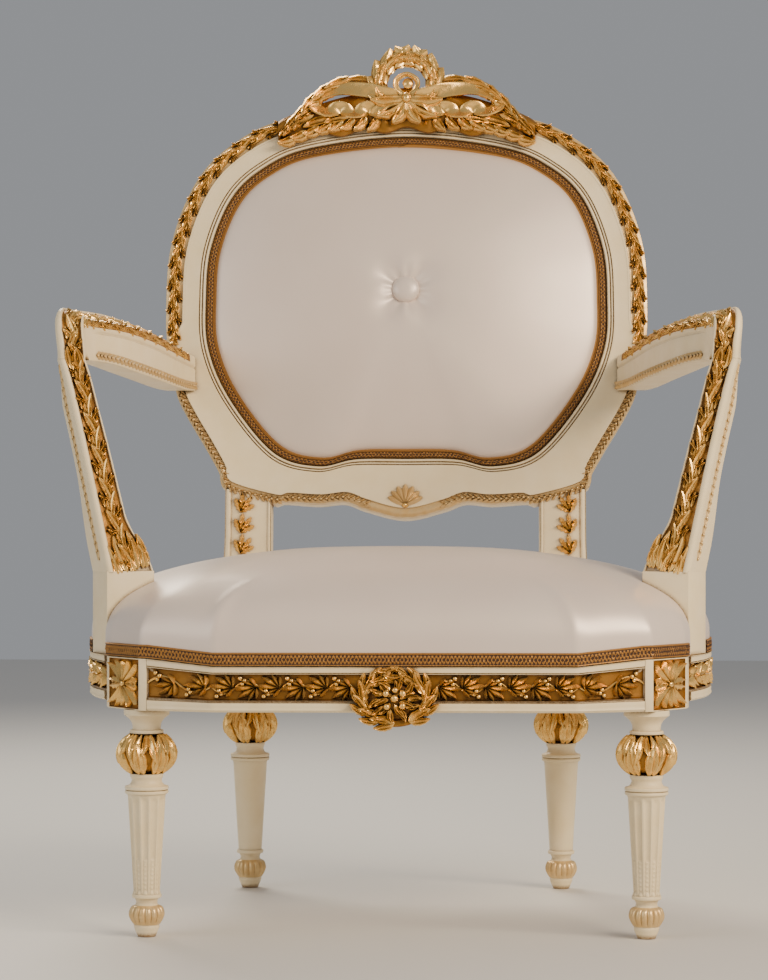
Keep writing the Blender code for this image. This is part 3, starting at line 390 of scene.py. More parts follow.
def turned_leg(fluted):
    """The turned and carved leg about its own axis, floor to collar."""
    mm = 0.001
    head = smooth([(0, 279), (28, 279), (28, 279), (28, 272.5), (28, 272.5), (26.2, 271), (21.5, 267), (18.2, 262),
                   (17.3, 257), (17.6, 254), (17.6, 254), (20.6, 253), (20.6, 249.8), (20.6, 249.8)], 3)
    ball = [Vector((32.5 * math.cos(a), 224.3 + 25.5 * math.sin(a)))
            for a in [math.radians(66 - 132 * k / 20) for k in range(21)]]
    neck = smooth([(20.4, 200), (20.4, 200), (20.4, 196.5), (19, 194), (18.6, 191), (21, 186.5), (26.6, 184.5),
                   (26.6, 184.5), (26.9, 182.5), (26.6, 180.8), (25.2, 180), (25.2, 180), (26.6, 179), (26.6, 176.5),
                   (26.0, 175.6), (24.2, 175), (24.2, 175), (23.3, 173), (23.3, 173)], 2)
    rows = 64 if fluted else 12
    shaft = [Vector((23.3 - 7.3 * k / rows, 173 - 120.5 * k / rows)) for k in range(1, rows + 1)]
    foot = smooth([(16, 52.5), (16, 52.5), (18, 51.5), (18.2, 49.5), (17.6, 47.6), (14.6, 46.5), (14.6, 46.5),
                   (13, 42), (14.5, 38.5), (19.5, 36), (22, 29.5), (21.6, 24), (18.2, 17.5), (15.5, 14), (15.5, 14),
                   (15.8, 12.5), (15.2, 10), (12.5, 3.5), (11, 0), (11, 0), (0, 0)], 3)
    bm = turned([p * mm for p in head + ball + neck + shaft + foot], FLUTES * 12 if fluted else 96)
    for face in bm.faces:
        z = face.calc_center_median().z
        if 0.2010 < z < 0.2480:
            face.material_index = GROUND
        elif 0.0145 < z < 0.0390:
            face.material_index = RUBBED
    for vert in bm.verts:
        radius = math.hypot(vert.co.x, vert.co.y)
        if radius < 0.001:
            continue
        turn = math.atan2(vert.co.y, vert.co.x)
        z = vert.co.z
        cut = 0.0
        if fluted and 0.052 < z < 0.1735:
            across = (turn * FLUTES / (2 * math.pi) + 0.5) % 1 - 0.5
            ends = min(1, (z - 0.0535) / 0.004, (0.1715 - z) / 0.004)
            hollow = max(0, 1 - (across / 0.37) ** 2) ** 0.5 * max(0, ends) ** 0.5
            cut = FLUTE_DEPTH * hollow * (0.75 + 0.25 * radius / 0.023)
            if z < 0.096:
                husk = max(0, 1 - (across / 0.27) ** 2) ** 0.5
                cut -= 0.0022 * husk * (0.72 + 0.28 * math.cos(2 * math.pi * z / 0.0055)) * ramp(0.097 - z, 0, 0.003)
        if 0.0145 < z < 0.0390:
            reed = abs(math.sin(turn * 8))
            cut = 0.0020 * (1 - reed ** 0.7) * ramp(z, 0.0145, 0.020) * ramp(0.039 - z, 0, 0.004)
        vert.co.x *= (radius - cut) / radius
        vert.co.y *= (radius - cut) / radius

    def round_ball(start, way, first, last, share):
        """A wrap that bends a leaf over the ball from one latitude to another."""
        def wrap(p):
            lat = math.radians(first + (last - first) * min(p.x, 1.05))
            turn = start + way * p.y * share
            reach = BALL_RADIUS * math.cos(lat) + p.z * LEAF_RISE * math.cos(lat)
            return Vector((reach * math.cos(turn), reach * math.sin(turn),
                           BALL_CENTRE + (BALL_HALF_HEIGHT + p.z * LEAF_RISE) * math.sin(lat)))
        return wrap

    for k in range(7):
        turn = 2 * math.pi * (k + 0.5) / 7
        plant(bm, curled_leaf, round_ball(turn - 0.12, 1, -62, 34, 0.56))
        plant(bm, curled_leaf, round_ball(turn + 0.14, -1, -62, 52, 0.56))
        plant(bm, curled_leaf, round_ball(turn + math.pi / 7 - 0.10, -1, 64, -22, 0.46))
        plant(bm, curled_leaf, round_ball(turn + math.pi / 7 + 0.14, 1, 64, 0, 0.40))
    return bm


def upright(plan, low, high):
    """A block that stands on a plan, between two heights."""
    bm = bmesh.new()
    floor = bmesh.ops.contextual_create(bm, geom=[bm.verts.new((x, y, low)) for x, y in plan])
    top = bmesh.ops.extrude_face_region(bm, geom=floor["faces"])
    bmesh.ops.translate(bm, vec=(0, 0, high - low),
                        verts=[item for item in top["geom"] if isinstance(item, bmesh.types.BMVert)])
    return bm


def front_leg():
    """The right front leg with its corner block and crossed leaves."""
    bm = upright([(BLOCK_INNER_X, -0.0363), CANT_START, CANT_END, BLOCK_BACK, (BLOCK_INNER_X - 0.010, BLOCK_BACK.y),
                  (BLOCK_INNER_X, 0.034)], LEG_HEIGHT, CORNER_TOP)
    bmesh.ops.recalc_face_normals(bm, faces=bm.faces)
    along = (CANT_END - CANT_START).normalized().to_3d()
    outward = Vector((along.y, -along.x, 0))
    canted = [face for face in bm.faces if face.normal.dot(outward) > 0.99]
    bmesh.ops.inset_region(bm, faces=canted, thickness=0.0022, depth=0)
    sunk = bmesh.ops.inset_region(bm, faces=canted, thickness=0.0012, depth=-0.0030)
    for face in canted + sunk["faces"]:
        face.material_index = GROUND
    sharp = [edge for edge in bm.edges if len(edge.link_faces) == 2 and edge.calc_face_angle() > 0.5]
    bmesh.ops.bevel(bm, geom=sharp, offset=0.0007, segments=2, profile=0.5, affect="EDGES", material=-1)
    middle = ((CANT_START + CANT_END) / 2).to_3d()
    middle.z = (LEG_HEIGHT + CORNER_TOP) / 2
    for turn, length, width in ((38, 40, 12), (142, 40, 12), (218, 40, 12), (322, 40, 12), (64, 31, 10),
                                (116, 31, 10), (244, 31, 10), (296, 31, 10), (90, 27, 9), (270, 27, 9)):
        plant(bm, laurel_leaf, laid(middle - outward * 0.0032, along, outward, length / 1000, width / 1000, 0.0075,
                                    math.radians(turn)))
    for turn in (8, -8, 172, 188):
        plant(bm, acanthus_leaf, laid(middle - outward * 0.0030, along, outward, 0.032, 0.013, 0.0060,
                                      math.radians(turn)))
    plant(bm, round_berry, laid(middle + outward * 0.001, along, outward, 0.0046, 0.0046, 0.0040))
    shaft = turned_leg(True)
    bmesh.ops.translate(shaft, vec=(FRONT_LEG_X, 0, 0), verts=shaft.verts)
    plant(bm, shaft)
    return bm


fitted_pair("carved_front_leg", front_leg(), "front_leg")

# Back legs. Turned beech with a plain taper; the stile rises from the same billet behind the seat and holds
# the medallion frame. Its raked front is painted, with a gilded row of leaf tufts between two thin beads.
BACK_RAKE = math.radians(10)
BACK_ORIGIN = Vector((0, 0.460, 0.400))
STILE_INNER_X = BACK_LEG_X - 0.035
STILE_OUTER_X = BACK_LEG_X + 0.035
STILE_FACE = 0.0110
STILE_FRONT_Y = 0.447
STILE_THICKNESS = 0.044
BLOCK_BACK_Y = STILE_FRONT_Y + STILE_THICKNESS + 0.015
STILE_FOOT = -0.058
# Below this height on the back plane the stile's back swells out to meet the corner block.
SWELL_TOP = 0.020
SWELL = 0.0240
OPENING_START = 0.1924
OPENING_HALF_WIDTH = 0.2793
OPENING_HEIGHT = 0.4601
FRAME_BAND = 0.0565
FRAME_BACK = 0.030
FRAME_FACE = 0.0155
CENTRE = OPENING_START + 0.509 * OPENING_HEIGHT
INNER_SHARES = [(0, 0), (0.248, -0.0015), (0.431, -0.0228), (0.652, 0.0185), (0.875, 0.184), (0.985, 0.34),
                (1, 0.494), (0.98, 0.65), (0.880, 0.807), (0.723, 0.902), (0.487, 0.965), (0, 1)]
LOWER_SHARES = [(0, -0.180), (0.193, -0.154), (0.301, -0.131), (0.432, -0.137), (0.601, -0.130),
                (0.660, -0.1355), (0.893, -0.092), (0.926, -0.041), (1.019, 0.058), (1.098, 0.129),
                (1.201, 0.212), (1.214, 0.299)]


def on_back(u, h, v):
    """The point u to the side, h ahead of and v up the raked back plane."""
    y = BACK_ORIGIN.y + v * math.sin(BACK_RAKE) - h * math.cos(BACK_RAKE)
    z = BACK_ORIGIN.z + v * math.cos(BACK_RAKE) + h * math.sin(BACK_RAKE)
    return Vector((u, y, z))


back_ahead = on_back(0, 1, 0) - on_back(0, 0, 0)
back_up = on_back(0, 0, 1) - on_back(0, 0, 0)


def polar_table(shares, closed):
    """(angle from straight down, radius) pairs of a medallion outline."""
    half = [(u * OPENING_HALF_WIDTH, OPENING_START + v * OPENING_HEIGHT) for u, v in shares]
    other = [(-u, v) for u, v in reversed(half[1:-1] if closed else half[1:])]
    steps = 10
    count = (len(half) - 1) * steps + 1
    if closed:
        curve = smooth(half + other, steps, closed=True)[:count]
    else:
        curve = smooth(other + half, steps)[-count:]
    return [(math.atan2(p.x, CENTRE - p.y), math.hypot(p.x, p.y - CENTRE)) for p in curve]


def radius_at(table, angle):
    """The radius at an angle from straight down, between 0 and pi."""
    for (a0, r0), (a1, r1) in zip(table, table[1:]):
        if a0 <= angle <= a1 and a1 > a0:
            return r0 + (r1 - r0) * (angle - a0) / (a1 - a0)
    return table[-1][1] if angle > table[-1][0] else table[0][1]


inner_table = polar_table(INNER_SHARES, closed=True)
lower_table = polar_table(LOWER_SHARES, closed=False)


def medallion_point(angle, outwards):
    """(u, v) on the back plane at an angle from straight down and a distance outside the opening's edge."""
    radius = radius_at(inner_table, abs(angle)) + outwards
    return math.copysign(math.sin(abs(angle)), angle) * radius, CENTRE - math.cos(angle) * radius


def frame_width(angle):
    """Width of the frame from the opening's edge: the leaf band above, webs and rail below."""
    angle = abs(angle)
    last = lower_table[-1][0]
    upper = FRAME_BAND - 0.006 * ramp(angle, 2.3, 2.9)
    lower = radius_at(lower_table, angle) - radius_at(inner_table, angle)
    return lower + (upper - lower) * ramp(angle, last - 0.35, last)


lower_edge = [medallion_point(a, frame_width(a)) for a in [1.3 * k / 90 for k in range(91)]]


def frame_bottom(u):
    """Height on the back plane of the frame's lower edge at a distance to the side."""
    for (u0, v0), (u1, v1) in zip(lower_edge, lower_edge[1:]):
        if u0 <= u <= u1:
            return v0 + (v1 - v0) * (u - u0) / (u1 - u0)
    return lower_edge[-1][1]


def back_leg():
    """The right back leg and its stile."""
    bm = turned_leg(False)
    bmesh.ops.translate(bm, vec=(BACK_LEG_X, LEG_SPACING, 0), verts=bm.verts)
    section = smooth([(0.00, -0.044), (0.00, -0.044), (0.00, -0.004), (0.015, -0.0008), (0.05, 0.0012),
                      (0.085, -0.0006), (0.085, -0.0006), (0.11, -0.0016), (0.50, 0.0008), (0.80, -0.0010),
                      (0.86, -0.0016), (0.86, -0.0016), (0.89, 0.0012), (0.94, 0.0014), (0.985, -0.0008),
                      (1.00, -0.004), (1.00, -0.044), (1.00, -0.044), (0.00, -0.044)], 2)

    def width_at(t):
        taper = 0.005 * ramp(t, 0.2, 0.7)
        return STILE_INNER_X - 0.003 + taper * 1.6, STILE_OUTER_X + 0.003 - taper * 0.8

    def place(s, t):
        edge = at_share(section, s)
        inner, outer = width_at(t)
        u = inner + (outer - inner) * edge.x
        top = min(frame_bottom(u + (inner + outer - 2 * u) * 0.1) + 0.004, 0.26)
        v = STILE_FOOT + (top - STILE_FOOT) * t
        swell = SWELL * max(0, (SWELL_TOP - v) / (SWELL_TOP - STILE_FOOT)) * min(max(-edge.y - 0.004, 0) / 0.040, 1)
        return on_back(u, STILE_FACE + edge.y - swell, v)

    plant(bm, skin(len(section) - 1, 40, place))
    block = bmesh.new()
    bmesh.ops.create_cube(block, size=1.0)
    bmesh.ops.scale(block, vec=(STILE_OUTER_X - STILE_INNER_X, BLOCK_BACK_Y - STILE_FRONT_Y,
                                CORNER_TOP - LEG_HEIGHT + 0.0018), verts=block.verts)
    bmesh.ops.translate(block, vec=(BACK_LEG_X, (BLOCK_BACK_Y + STILE_FRONT_Y) / 2,
                                    (CORNER_TOP + LEG_HEIGHT) / 2), verts=block.verts)
    bmesh.ops.bevel(block, geom=block.edges[:], offset=0.0009, segments=2, profile=0.5, affect="EDGES", material=-1)
    plant(bm, block)
    for k in range(5):
        t = 0.30 + 0.145 * k
        inner, outer = width_at(t)
        centre = outer - (outer - inner) * 0.34
        at = on_back(centre, STILE_FACE - 0.0012, STILE_FOOT + (frame_bottom(centre) - STILE_FOOT) * t)
        for turn, length in ((62, 0.021), (34, 0.026), (6, 0.027), (-22, 0.021)):
            plant(bm, acanthus_leaf, laid(at, back_up, back_ahead, length, 0.0090, 0.0065, math.radians(turn)))
    return bm


fitted_pair("carved_back_leg", back_leg(), "back_leg")

# Seat rails. Beech rails tenoned between the legs, painted, with a sunk gilded band where a stem of leaves and
# berries is carved between a flat top fillet and a rounded base moulding. The rear rail is plain and painted.
FACE_Y = -0.065
BEND_X = 0.2207
SIDE_BOTTOM = 0.287
SEAT_HALF_WIDTH = 0.400
STEM_PITCH = 0.056
BAND_DEPTH = 0.0054
FRONT_SLOPE = (CANT_START.y - FACE_Y) / (CANT_START.x - BEND_X)


def rail_top(x):
    """Height of the front rail's top, which rises from the bend to the corner."""
    return RAIL_TOP + (CORNER_TOP - RAIL_TOP) * min(max((abs(x) - BEND_X) / (BLOCK_INNER_X - BEND_X), 0), 1)


def front_face(x):
    """The front rail's face in plan at a distance to the side."""
    return Vector((x, FACE_Y + FRONT_SLOPE * max(abs(x) - BEND_X, 0)))


def side_path(start):
    """The side rail's face in plan, from the given point back to the stile."""
    end = Vector((STILE_OUTER_X + 0.004, BACK_Y - 0.016))
    reach = SEAT_HALF_WIDTH - start.x
    run = end.y - start.y
    return smooth([start, start + Vector((reach * 0.66, run * 0.16)), Vector((SEAT_HALF_WIDTH, start.y + run * 0.36)),
                   Vector((end.x + (SEAT_HALF_WIDTH - end.x) * 0.94, start.y + run * 0.58)),
                   Vector((end.x + (SEAT_HALF_WIDTH - end.x) * 0.68, start.y + run * 0.78)), end], 12)


def inward_at(path, k):
    """The level direction into the seat at a point of a path that runs anticlockwise round it."""
    step = path[min(k + 1, len(path) - 1)] - path[max(k - 1, 0)]
    return Vector((-step.y, step.x)).normalized()


def rail_body(path, bottom, tops):
    """A carved rail's body along its face."""
    count = len(path) - 1
    keys = [(0.030, 0.0), (0.030, 0.0), (0.002, 0.0), (0.0004, 0.10), (0.0, 0.14), (0.0, 0.20), (0.0, 0.20),
            (0.0026, 0.215), (0.0026, 0.245), (0.0, 0.262), (0.0, 0.262), (0.0052, 0.285), (0.0056, 0.5),
            (0.0052, 0.815), (0.0, 0.838), (0.0, 0.838), (0.0, 0.845), (0.0016, 0.86), (0.0, 0.875), (0.0, 0.98),
            (0.0010, 1.0), (0.030, 1.0), (0.030, 1.0)]
    section = smooth(keys, 2)

    def place(s, t):
        k = round(t * count)
        edge = at_share(section, s)
        inward = inward_at(path, k)
        return Vector((path[k].x + inward.x * edge.x, path[k].y + inward.y * edge.x,
                       bottom + (tops[k] - bottom) * edge.y))

    # The sunk band runs from the section's 10th step to its 15th.
    band = (10.2 / 22, 14.8 / 22)
    return skin(2 * (len(keys) - 1), count, place, lambda s, t: GROUND if band[0] < s < band[1] else PAINT)


def stem_of_leaves(bm, path, low, high, start, flip=1):
    """A wavy stem with fans of leaves and clusters of berries along a sunk band."""
    lengths = lengths_along(path)

    def place(distance, share):
        distance = min(max(distance, 0), lengths[-1])
        k = max(i for i, value in enumerate(lengths[:-1]) if value <= distance)
        p = path[k].lerp(path[k + 1], (distance - lengths[k]) / (lengths[k + 1] - lengths[k]))
        step = (path[k + 1] - path[k]).normalized().to_3d()
        outward = Vector((step.y, -step.x, 0))
        z = low(p.x) + (high(p.x) - low(p.x)) * share
        return Vector((p.x, p.y, z)) - outward * BAND_DEPTH, step, outward

    total = lengths[-1]
    waves = max(1, round((total - start) / STEM_PITCH))
    pitch = (total - start) / waves

    def stem(s, t):
        distance = start + (total - start) * t
        wave = 0.5 + 0.26 * flip * math.sin(2 * math.pi * (distance - start) / pitch)
        at, step, outward = place(distance, wave)
        bend = 2 * math.pi * s
        return at + outward * (0.0012 + 0.0016 * math.cos(bend)) + Vector((0, 0, 0.0015 * math.sin(bend)))

    plant(bm, skin(6, waves * 16, stem, lambda s, t: GILT))
    for k in range(2 * waves):
        side = flip * (1 if k % 2 == 0 else -1)
        root = start + pitch * (k + 0.12) / 2
        at, step, outward = place(root, 0.5 + side * 0.02)
        for turn, length, width in ((4, 0.029, 0.0094), (32, 0.025, 0.0090), (60, 0.019, 0.0080),
                                    (90, 0.014, 0.0066), (-24, 0.021, 0.0078), (-52, 0.014, 0.0066)):
            plant(bm, laurel_leaf, laid(at, step, outward, length, width, 0.0070, math.radians(-side * turn)))
        centre = start + pitch * (k + 0.62) / 2
        for along, up in ((0, 0), (0.0052, 0.10), (0.0026, -0.13)):
            spot, step, outward = place(centre + along, 0.5 + side * (0.27 + up))
            plant(bm, round_berry, laid(spot + outward * 0.0022, step, outward, 0.0031, 0.0031, 0.0029))


def evenly(points, spacing):
    """The same path with a point about every spacing."""
    return resample(points, max(2, round(lengths_along(points)[-1] / spacing) + 1))


end_x = BLOCK_INNER_X - SEAM
straight = evenly([front_face(0), front_face(BEND_X)], 0.004)
angled = evenly([front_face(BEND_X), front_face(end_x)], 0.004)
front_half = straight + angled[1:]
front_path = [Vector((-p.x, p.y)) for p in reversed(front_half[1:])] + front_half
front_rail = rail_body(front_path, LEG_HEIGHT + SEAM, [rail_top(p.x) for p in front_path])


def band_low(x):
    """Height of the sunk band's lower edge on the front rail."""
    return LEG_HEIGHT + (rail_top(x) - LEG_HEIGHT) * 0.285


def band_high(x):
    """Height of the sunk band's upper edge on the front rail."""
    return LEG_HEIGHT + (rail_top(x) - LEG_HEIGHT) * 0.815


for sign in (1, -1):
    for run, start, flip in ((straight, 0.050, 1), (angled, 0.004, -1)):
        side_run = run if sign > 0 else [Vector((-p.x, p.y)) for p in reversed(run)]
        carving = bmesh.new()
        stem_of_leaves(carving, run, band_low, band_high, start, flip)
        if sign < 0:
            bmesh.ops.scale(carving, vec=(-1, 1, 1), verts=carving.verts)
            bmesh.ops.reverse_faces(carving, faces=carving.faces)
        plant(front_rail, carving)
        carving.free()
fitted("carved_front_rail", front_rail, carved_finishes, "front_rail")

side_start = Vector((BLOCK_BACK.x + 0.003, BLOCK_BACK.y + SEAM))
side_face = evenly(side_path(side_start), 0.004)
side_rail = rail_body(side_face, SIDE_BOTTOM, [CORNER_TOP] * len(side_face))
stem_of_leaves(side_rail, side_face, lambda x: SIDE_BOTTOM + 0.0165, lambda x: CORNER_TOP - 0.0110, 0.004)
bmesh.ops.bisect_plane(side_rail, geom=side_rail.verts[:] + side_rail.edges[:] + side_rail.faces[:],
                       plane_co=(STILE_OUTER_X + 0.0005, 0, 0), plane_no=(-1, 0, 0), clear_outer=True)
bmesh.ops.holes_fill(side_rail, edges=[edge for edge in side_rail.edges if edge.is_boundary], sides=0)
fitted_pair("carved_side_rail", side_rail, "side_rail")
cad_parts["back_rail"].data.materials.clear()
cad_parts["back_rail"].data.materials.append(ivory_paint)

# Rail cartouche. A block of carved lime planted on the middle of the front rail: a wreath of laurel round a
# boss of fruit and leaves, water gilt all over.
CARTOUCHE_HALF_WIDTH = 0.051
CARTOUCHE_HALF_HEIGHT = 0.0365
CARTOUCHE_Z = RAIL_TOP - CARTOUCHE_HALF_HEIGHT * 1.07
ahead = Vector((0, -1, 0))
fruit_boss = bmesh.new()


def boss(s, t):
    """The oval ground of the wreath: a raised rim round a domed middle."""
    height = at_share(smooth([(0, 0.0), (0, 0.0), (0, 0.006), (0, 0.0085), (0, 0.0075), (0, 0.005), (0, 0.0078),
                              (0, 0.0095), (0, 0.010)], 4), t).y
    share = at_share(smooth([(0, 0.90), (0, 0.90), (0, 0.90), (0, 0.84), (0, 0.70), (0, 0.62), (0, 0.44), (0, 0.22),
                             (0, 0.0)], 4), t).y
    turn = 2 * math.pi * s
    return Vector((CARTOUCHE_HALF_WIDTH * share * math.cos(turn), FACE_Y - SEAM - height,
                   CARTOUCHE_Z + CARTOUCHE_HALF_HEIGHT * share * math.sin(turn)))


plant(fruit_boss, skin(48, 32, boss, lambda s, t: GROUND))
for k in range(14):
    turn = 2 * math.pi * (k + 0.5) / 14
    way = -1 if math.cos(turn) > 0 else 1
    spot = Vector((CARTOUCHE_HALF_WIDTH * 0.76 * math.cos(turn), FACE_Y - 0.0060,
                   CARTOUCHE_Z + CARTOUCHE_HALF_HEIGHT * 0.76 * math.sin(turn)))
    tangent = Vector((-CARTOUCHE_HALF_WIDTH * math.sin(turn), 0, CARTOUCHE_HALF_HEIGHT * math.cos(turn))) * way
    plant(fruit_boss, curled_leaf, laid(spot, -tangent, ahead, 0.030, 0.0150 * way, 0.0085, -0.34 * way))
    plant(fruit_boss, curled_leaf, laid(spot, -tangent, ahead, 0.026, -0.0120 * way, 0.0070, 0.42 * way))
for reach, count, length, turned_by in ((0.016, 10, 0.017, 0.0), (0.007, 7, 0.019, 0.3)):
    for k in range(count):
        turn = turned_by + 2 * math.pi * k / count
        away = Vector((math.cos(turn), 0, 0.75 * math.sin(turn)))
        plant(fruit_boss, curled_leaf, laid(Vector((0, FACE_Y - 0.0090, CARTOUCHE_Z)) + away * reach, away, ahead,
                                            length, 0.0105 * (1 if k % 2 else -1), 0.0075, 0.35))
for u, v, size in ((0, 0.002, 0.0052), (-0.010, 0.008, 0.0046), (0.010, 0.008, 0.0046), (-0.009, -0.008, 0.0044),
                   (0.010, -0.007, 0.0044), (0.001, 0.012, 0.0040)):
    plant(fruit_boss, round_berry, laid(Vector((u, FACE_Y - 0.0140, CARTOUCHE_Z + v)), Vector((1, 0, 0)), ahead,
                                        size, size, size * 0.95))
fitted("gilded_rail_cartouche", fruit_boss, carved_finishes, "front_cartouche")

# Medallion frame. Beech in segments, doweled and carved: a reeded lip, a bead and a hollow painted ivory, then
# an outer band of gilded laurel; below the arms the band becomes the painted web and bottom rail, edged with a
# carved chain of husks and set with a gilded palmette.
ARM_ROOT_LOW = 0.290
ARM_ROOT_HIGH = 0.350
FRAME_STATIONS = 360


def frame_place(s, t):
    """The frame's moulded surface, across its section and round the medallion."""
    angle = math.pi * (2 * t - 1)
    width = frame_width(angle)
    v_here = medallion_point(angle, width)[1]
    leafy = ramp(v_here, ARM_ROOT_HIGH + 0.010, ARM_ROOT_HIGH + 0.035)
    band = 0.0125 + 0.0105 * leafy
    keys = [(0, -FRAME_BACK), (0, -FRAME_BACK), (0, 0.0075), (0.0006, 0.0105), (0.0022, 0.0120), (0.0040, 0.0112),
            (0.0044, 0.0090), (0.0044, 0.0090), (0.0052, 0.0088), (0.0058, 0.0110), (0.0076, 0.0116),
            (0.0080, 0.0096), (0.0080, 0.0096), (0.0090, 0.0094), (0.0096, 0.0118), (0.0150, 0.0116),
            (width * 0.5 + 0.001, 0.0112 + 0.001 * leafy), (width - band - 0.004, 0.0125),
            (width - band - 0.0012, 0.0126), (width - band - 0.0004, 0.0104), (width - band - 0.0004, 0.0104),
            (width - band + 0.0010, 0.0100), (width - band * 0.5, 0.0112), (width - 0.0020, 0.0090),
            (width - 0.0006, 0.0040), (width - 0.002, -FRAME_BACK), (width - 0.002, -FRAME_BACK)]
    w, h = at_share(smooth(keys, 2), s)
    u, v = medallion_point(angle, w)
    return on_back(u, h, v)


FRAME_STEPS = 26
medallion_frame = skin(3 * FRAME_STEPS, FRAME_STATIONS, frame_place,
                       lambda s, t: RUBBED if 19.6 / FRAME_STEPS < s < 24.2 / FRAME_STEPS else PAINT)
bmesh.ops.remove_doubles(medallion_frame, verts=medallion_frame.verts, dist=0.000004)


def round_frame(angle, outwards, height):
    """A point on the frame and the way along it towards the foot of the back."""
    u, v = medallion_point(angle, outwards)
    u1, v1 = medallion_point(angle - math.copysign(0.01, angle), outwards)
    at = on_back(u, height, v)
    return at, (on_back(u1, height, v1) - at).normalized()


def stations_round(first, last, inset, pitch):
    """Angles from first to last, a pitch apart along the line that lies inset from the frame's outer edge."""
    angles = [first]
    steps = 400
    travelled = 0.0
    previous = Vector(medallion_point(first, frame_width(first) - inset))
    for k in range(1, steps + 1):
        angle = first + (last - first) * k / steps
        here = Vector(medallion_point(angle, frame_width(angle) - inset))
        travelled += (here - previous).length
        previous = here
        if travelled >= pitch:
            angles.append(angle)
            travelled -= pitch
    return angles


def round_run(sign, first, last, inset, height):
    """Stations along the frame from one angle to another, at a distance in from its outer edge."""
    angles = stations_round(first, last, inset, 0.002)

    def station(share):
        angle = sign * at_share([Vector((a, 0)) for a in angles], share).x
        at, down = round_frame(angle, frame_width(angle) - inset, height)
        return at, down, back_ahead

    return station


for sign in (1, -1):
    foliage(medallion_frame, round_run(sign, math.pi - 0.50, 1.34, 0.0122, 0.0100), 26, 0.0215, 0.036, 0.0068)
    husks(medallion_frame, round_run(sign, 1.26, 0.17, 0.0066, 0.0104), 50, 0.0095)

palmette_at = on_back(0, 0.0115, OPENING_START - OPENING_HEIGHT * 0.142)
for turn, length in ((0, 0.029), (22, 0.028), (-22, 0.028), (44, 0.027), (-44, 0.027), (64, 0.026), (-64, 0.026)):
    plant(medallion_frame, laurel_leaf, laid(palmette_at, back_up, back_ahead, length, 0.0105, 0.0050,
                                             math.radians(turn)), RUBBED)
plant(medallion_frame, round_berry, laid(palmette_at, back_up, back_ahead, 0.004, 0.005, 0.006))
fitted("carved_medallion_frame", medallion_frame, carved_finishes, "back_frame")

# Crest. Carved lime planted on the top of the frame and gilded all over: a ring of laurel tied by a ribbon bow,
# whose ends fold away over two arched masses of acanthus.
CREST_FACE = FRAME_FACE + 0.0005
TOP_V = OPENING_START + OPENING_HEIGHT
WREATH_V = 0.7300
KNOT_V = 0.7087
CREST_DROP = 0.0085
FRONT = CREST_FACE + 0.018
RIBBON_THICKNESS = 0.0022
crest = bmesh.new()


crest_edge = [medallion_point(a, frame_width(a)) for a in (math.pi - 1.2 * k / 399 for k in range(400))]


def outer_edge(u):
    """Height on the back plane of the frame's top edge, to stand the foliage on."""
    return max(v for a, v in crest_edge if abs(a - abs(u)) < 0.004)


def foliage_ground(s, t):
    """The rough mass that carries the leaves, from one end of the crest to the other."""
    share = 2 * t - 1
    edge = abs(share)
    u = 0.180 * share
    low = TOP_V + 0.016 - 0.020 * edge ** 2 + 0.004 * math.cos(6 * math.pi * share)
    high = TOP_V + 0.026 + 0.050 * (1 - edge ** 1.6) ** 0.8
    behind = CREST_FACE - (CREST_FACE + 0.0075) * ramp(0.180 - abs(u), 0.004, 0.030)
    ledge = min(outer_edge(u) + 0.002 + CREST_DROP, high - 0.002)
    keys = [(low, CREST_FACE), (ledge, CREST_FACE), (ledge, behind), (high, behind)]
    for j in range(7):
        across = 1 - j / 6
        bulge = math.sin(math.pi * (0.08 + 0.84 * across)) ** 0.6
        v = low + (high - low) * across
        stroke = math.sin(30 * math.atan2(v - KNOT_V, abs(u) + 0.004))
        keys.append((v, CREST_FACE + 0.002 + (0.0125 + 0.0022 * stroke) * bulge))
    keys.append(keys[0])
    place = s * (len(keys) - 1)
    k = min(int(place), len(keys) - 2)
    mix = place - k
    v = keys[k][0] * (1 - mix) + keys[k + 1][0] * mix
    h = keys[k][1] * (1 - mix) + keys[k + 1][1] * mix
    return on_back(u, h, v)


plant(crest, skin(33, 90, foliage_ground, lambda s, t: GROUND))
for k in range(13):
    turn = 2 * math.pi * (k + 0.5) / 13
    radial = Vector((math.cos(turn), 0, 0)) + back_up * math.sin(turn)
    tangent = Vector((-math.sin(turn), 0, 0)) + back_up * math.cos(turn)
    way = 1 if math.cos(turn) > 0 else -1
    centre = on_back(0, CREST_FACE + 0.013, WREATH_V)
    for tilt, reach, swing in ((-0.8, 0.0420, -0.10), (0.0, 0.0385, 0.12), (0.9, 0.0325, 0.20)):
        outward = (back_ahead * math.cos(tilt) - radial * math.sin(tilt)).normalized()
        plant(crest, curled_leaf, laid(centre + radial * reach + back_ahead * (0.006 * math.cos(tilt)), tangent * way,
                                       outward, 0.034, 0.0175 * way, 0.0080, swing * way))


def wreath_ring(s, t):
    """The stem of the wreath under its leaves."""
    turn = 2 * math.pi * t
    bend = 2 * math.pi * s
    radius = 0.0385 + 0.0085 * math.cos(bend)
    return on_back(radius * math.cos(turn), CREST_FACE + 0.013 + 0.0085 * math.sin(bend),
                   WREATH_V + radius * math.sin(turn))


plant(crest, skin(10, 48, wreath_ring, lambda s, t: GROUND))


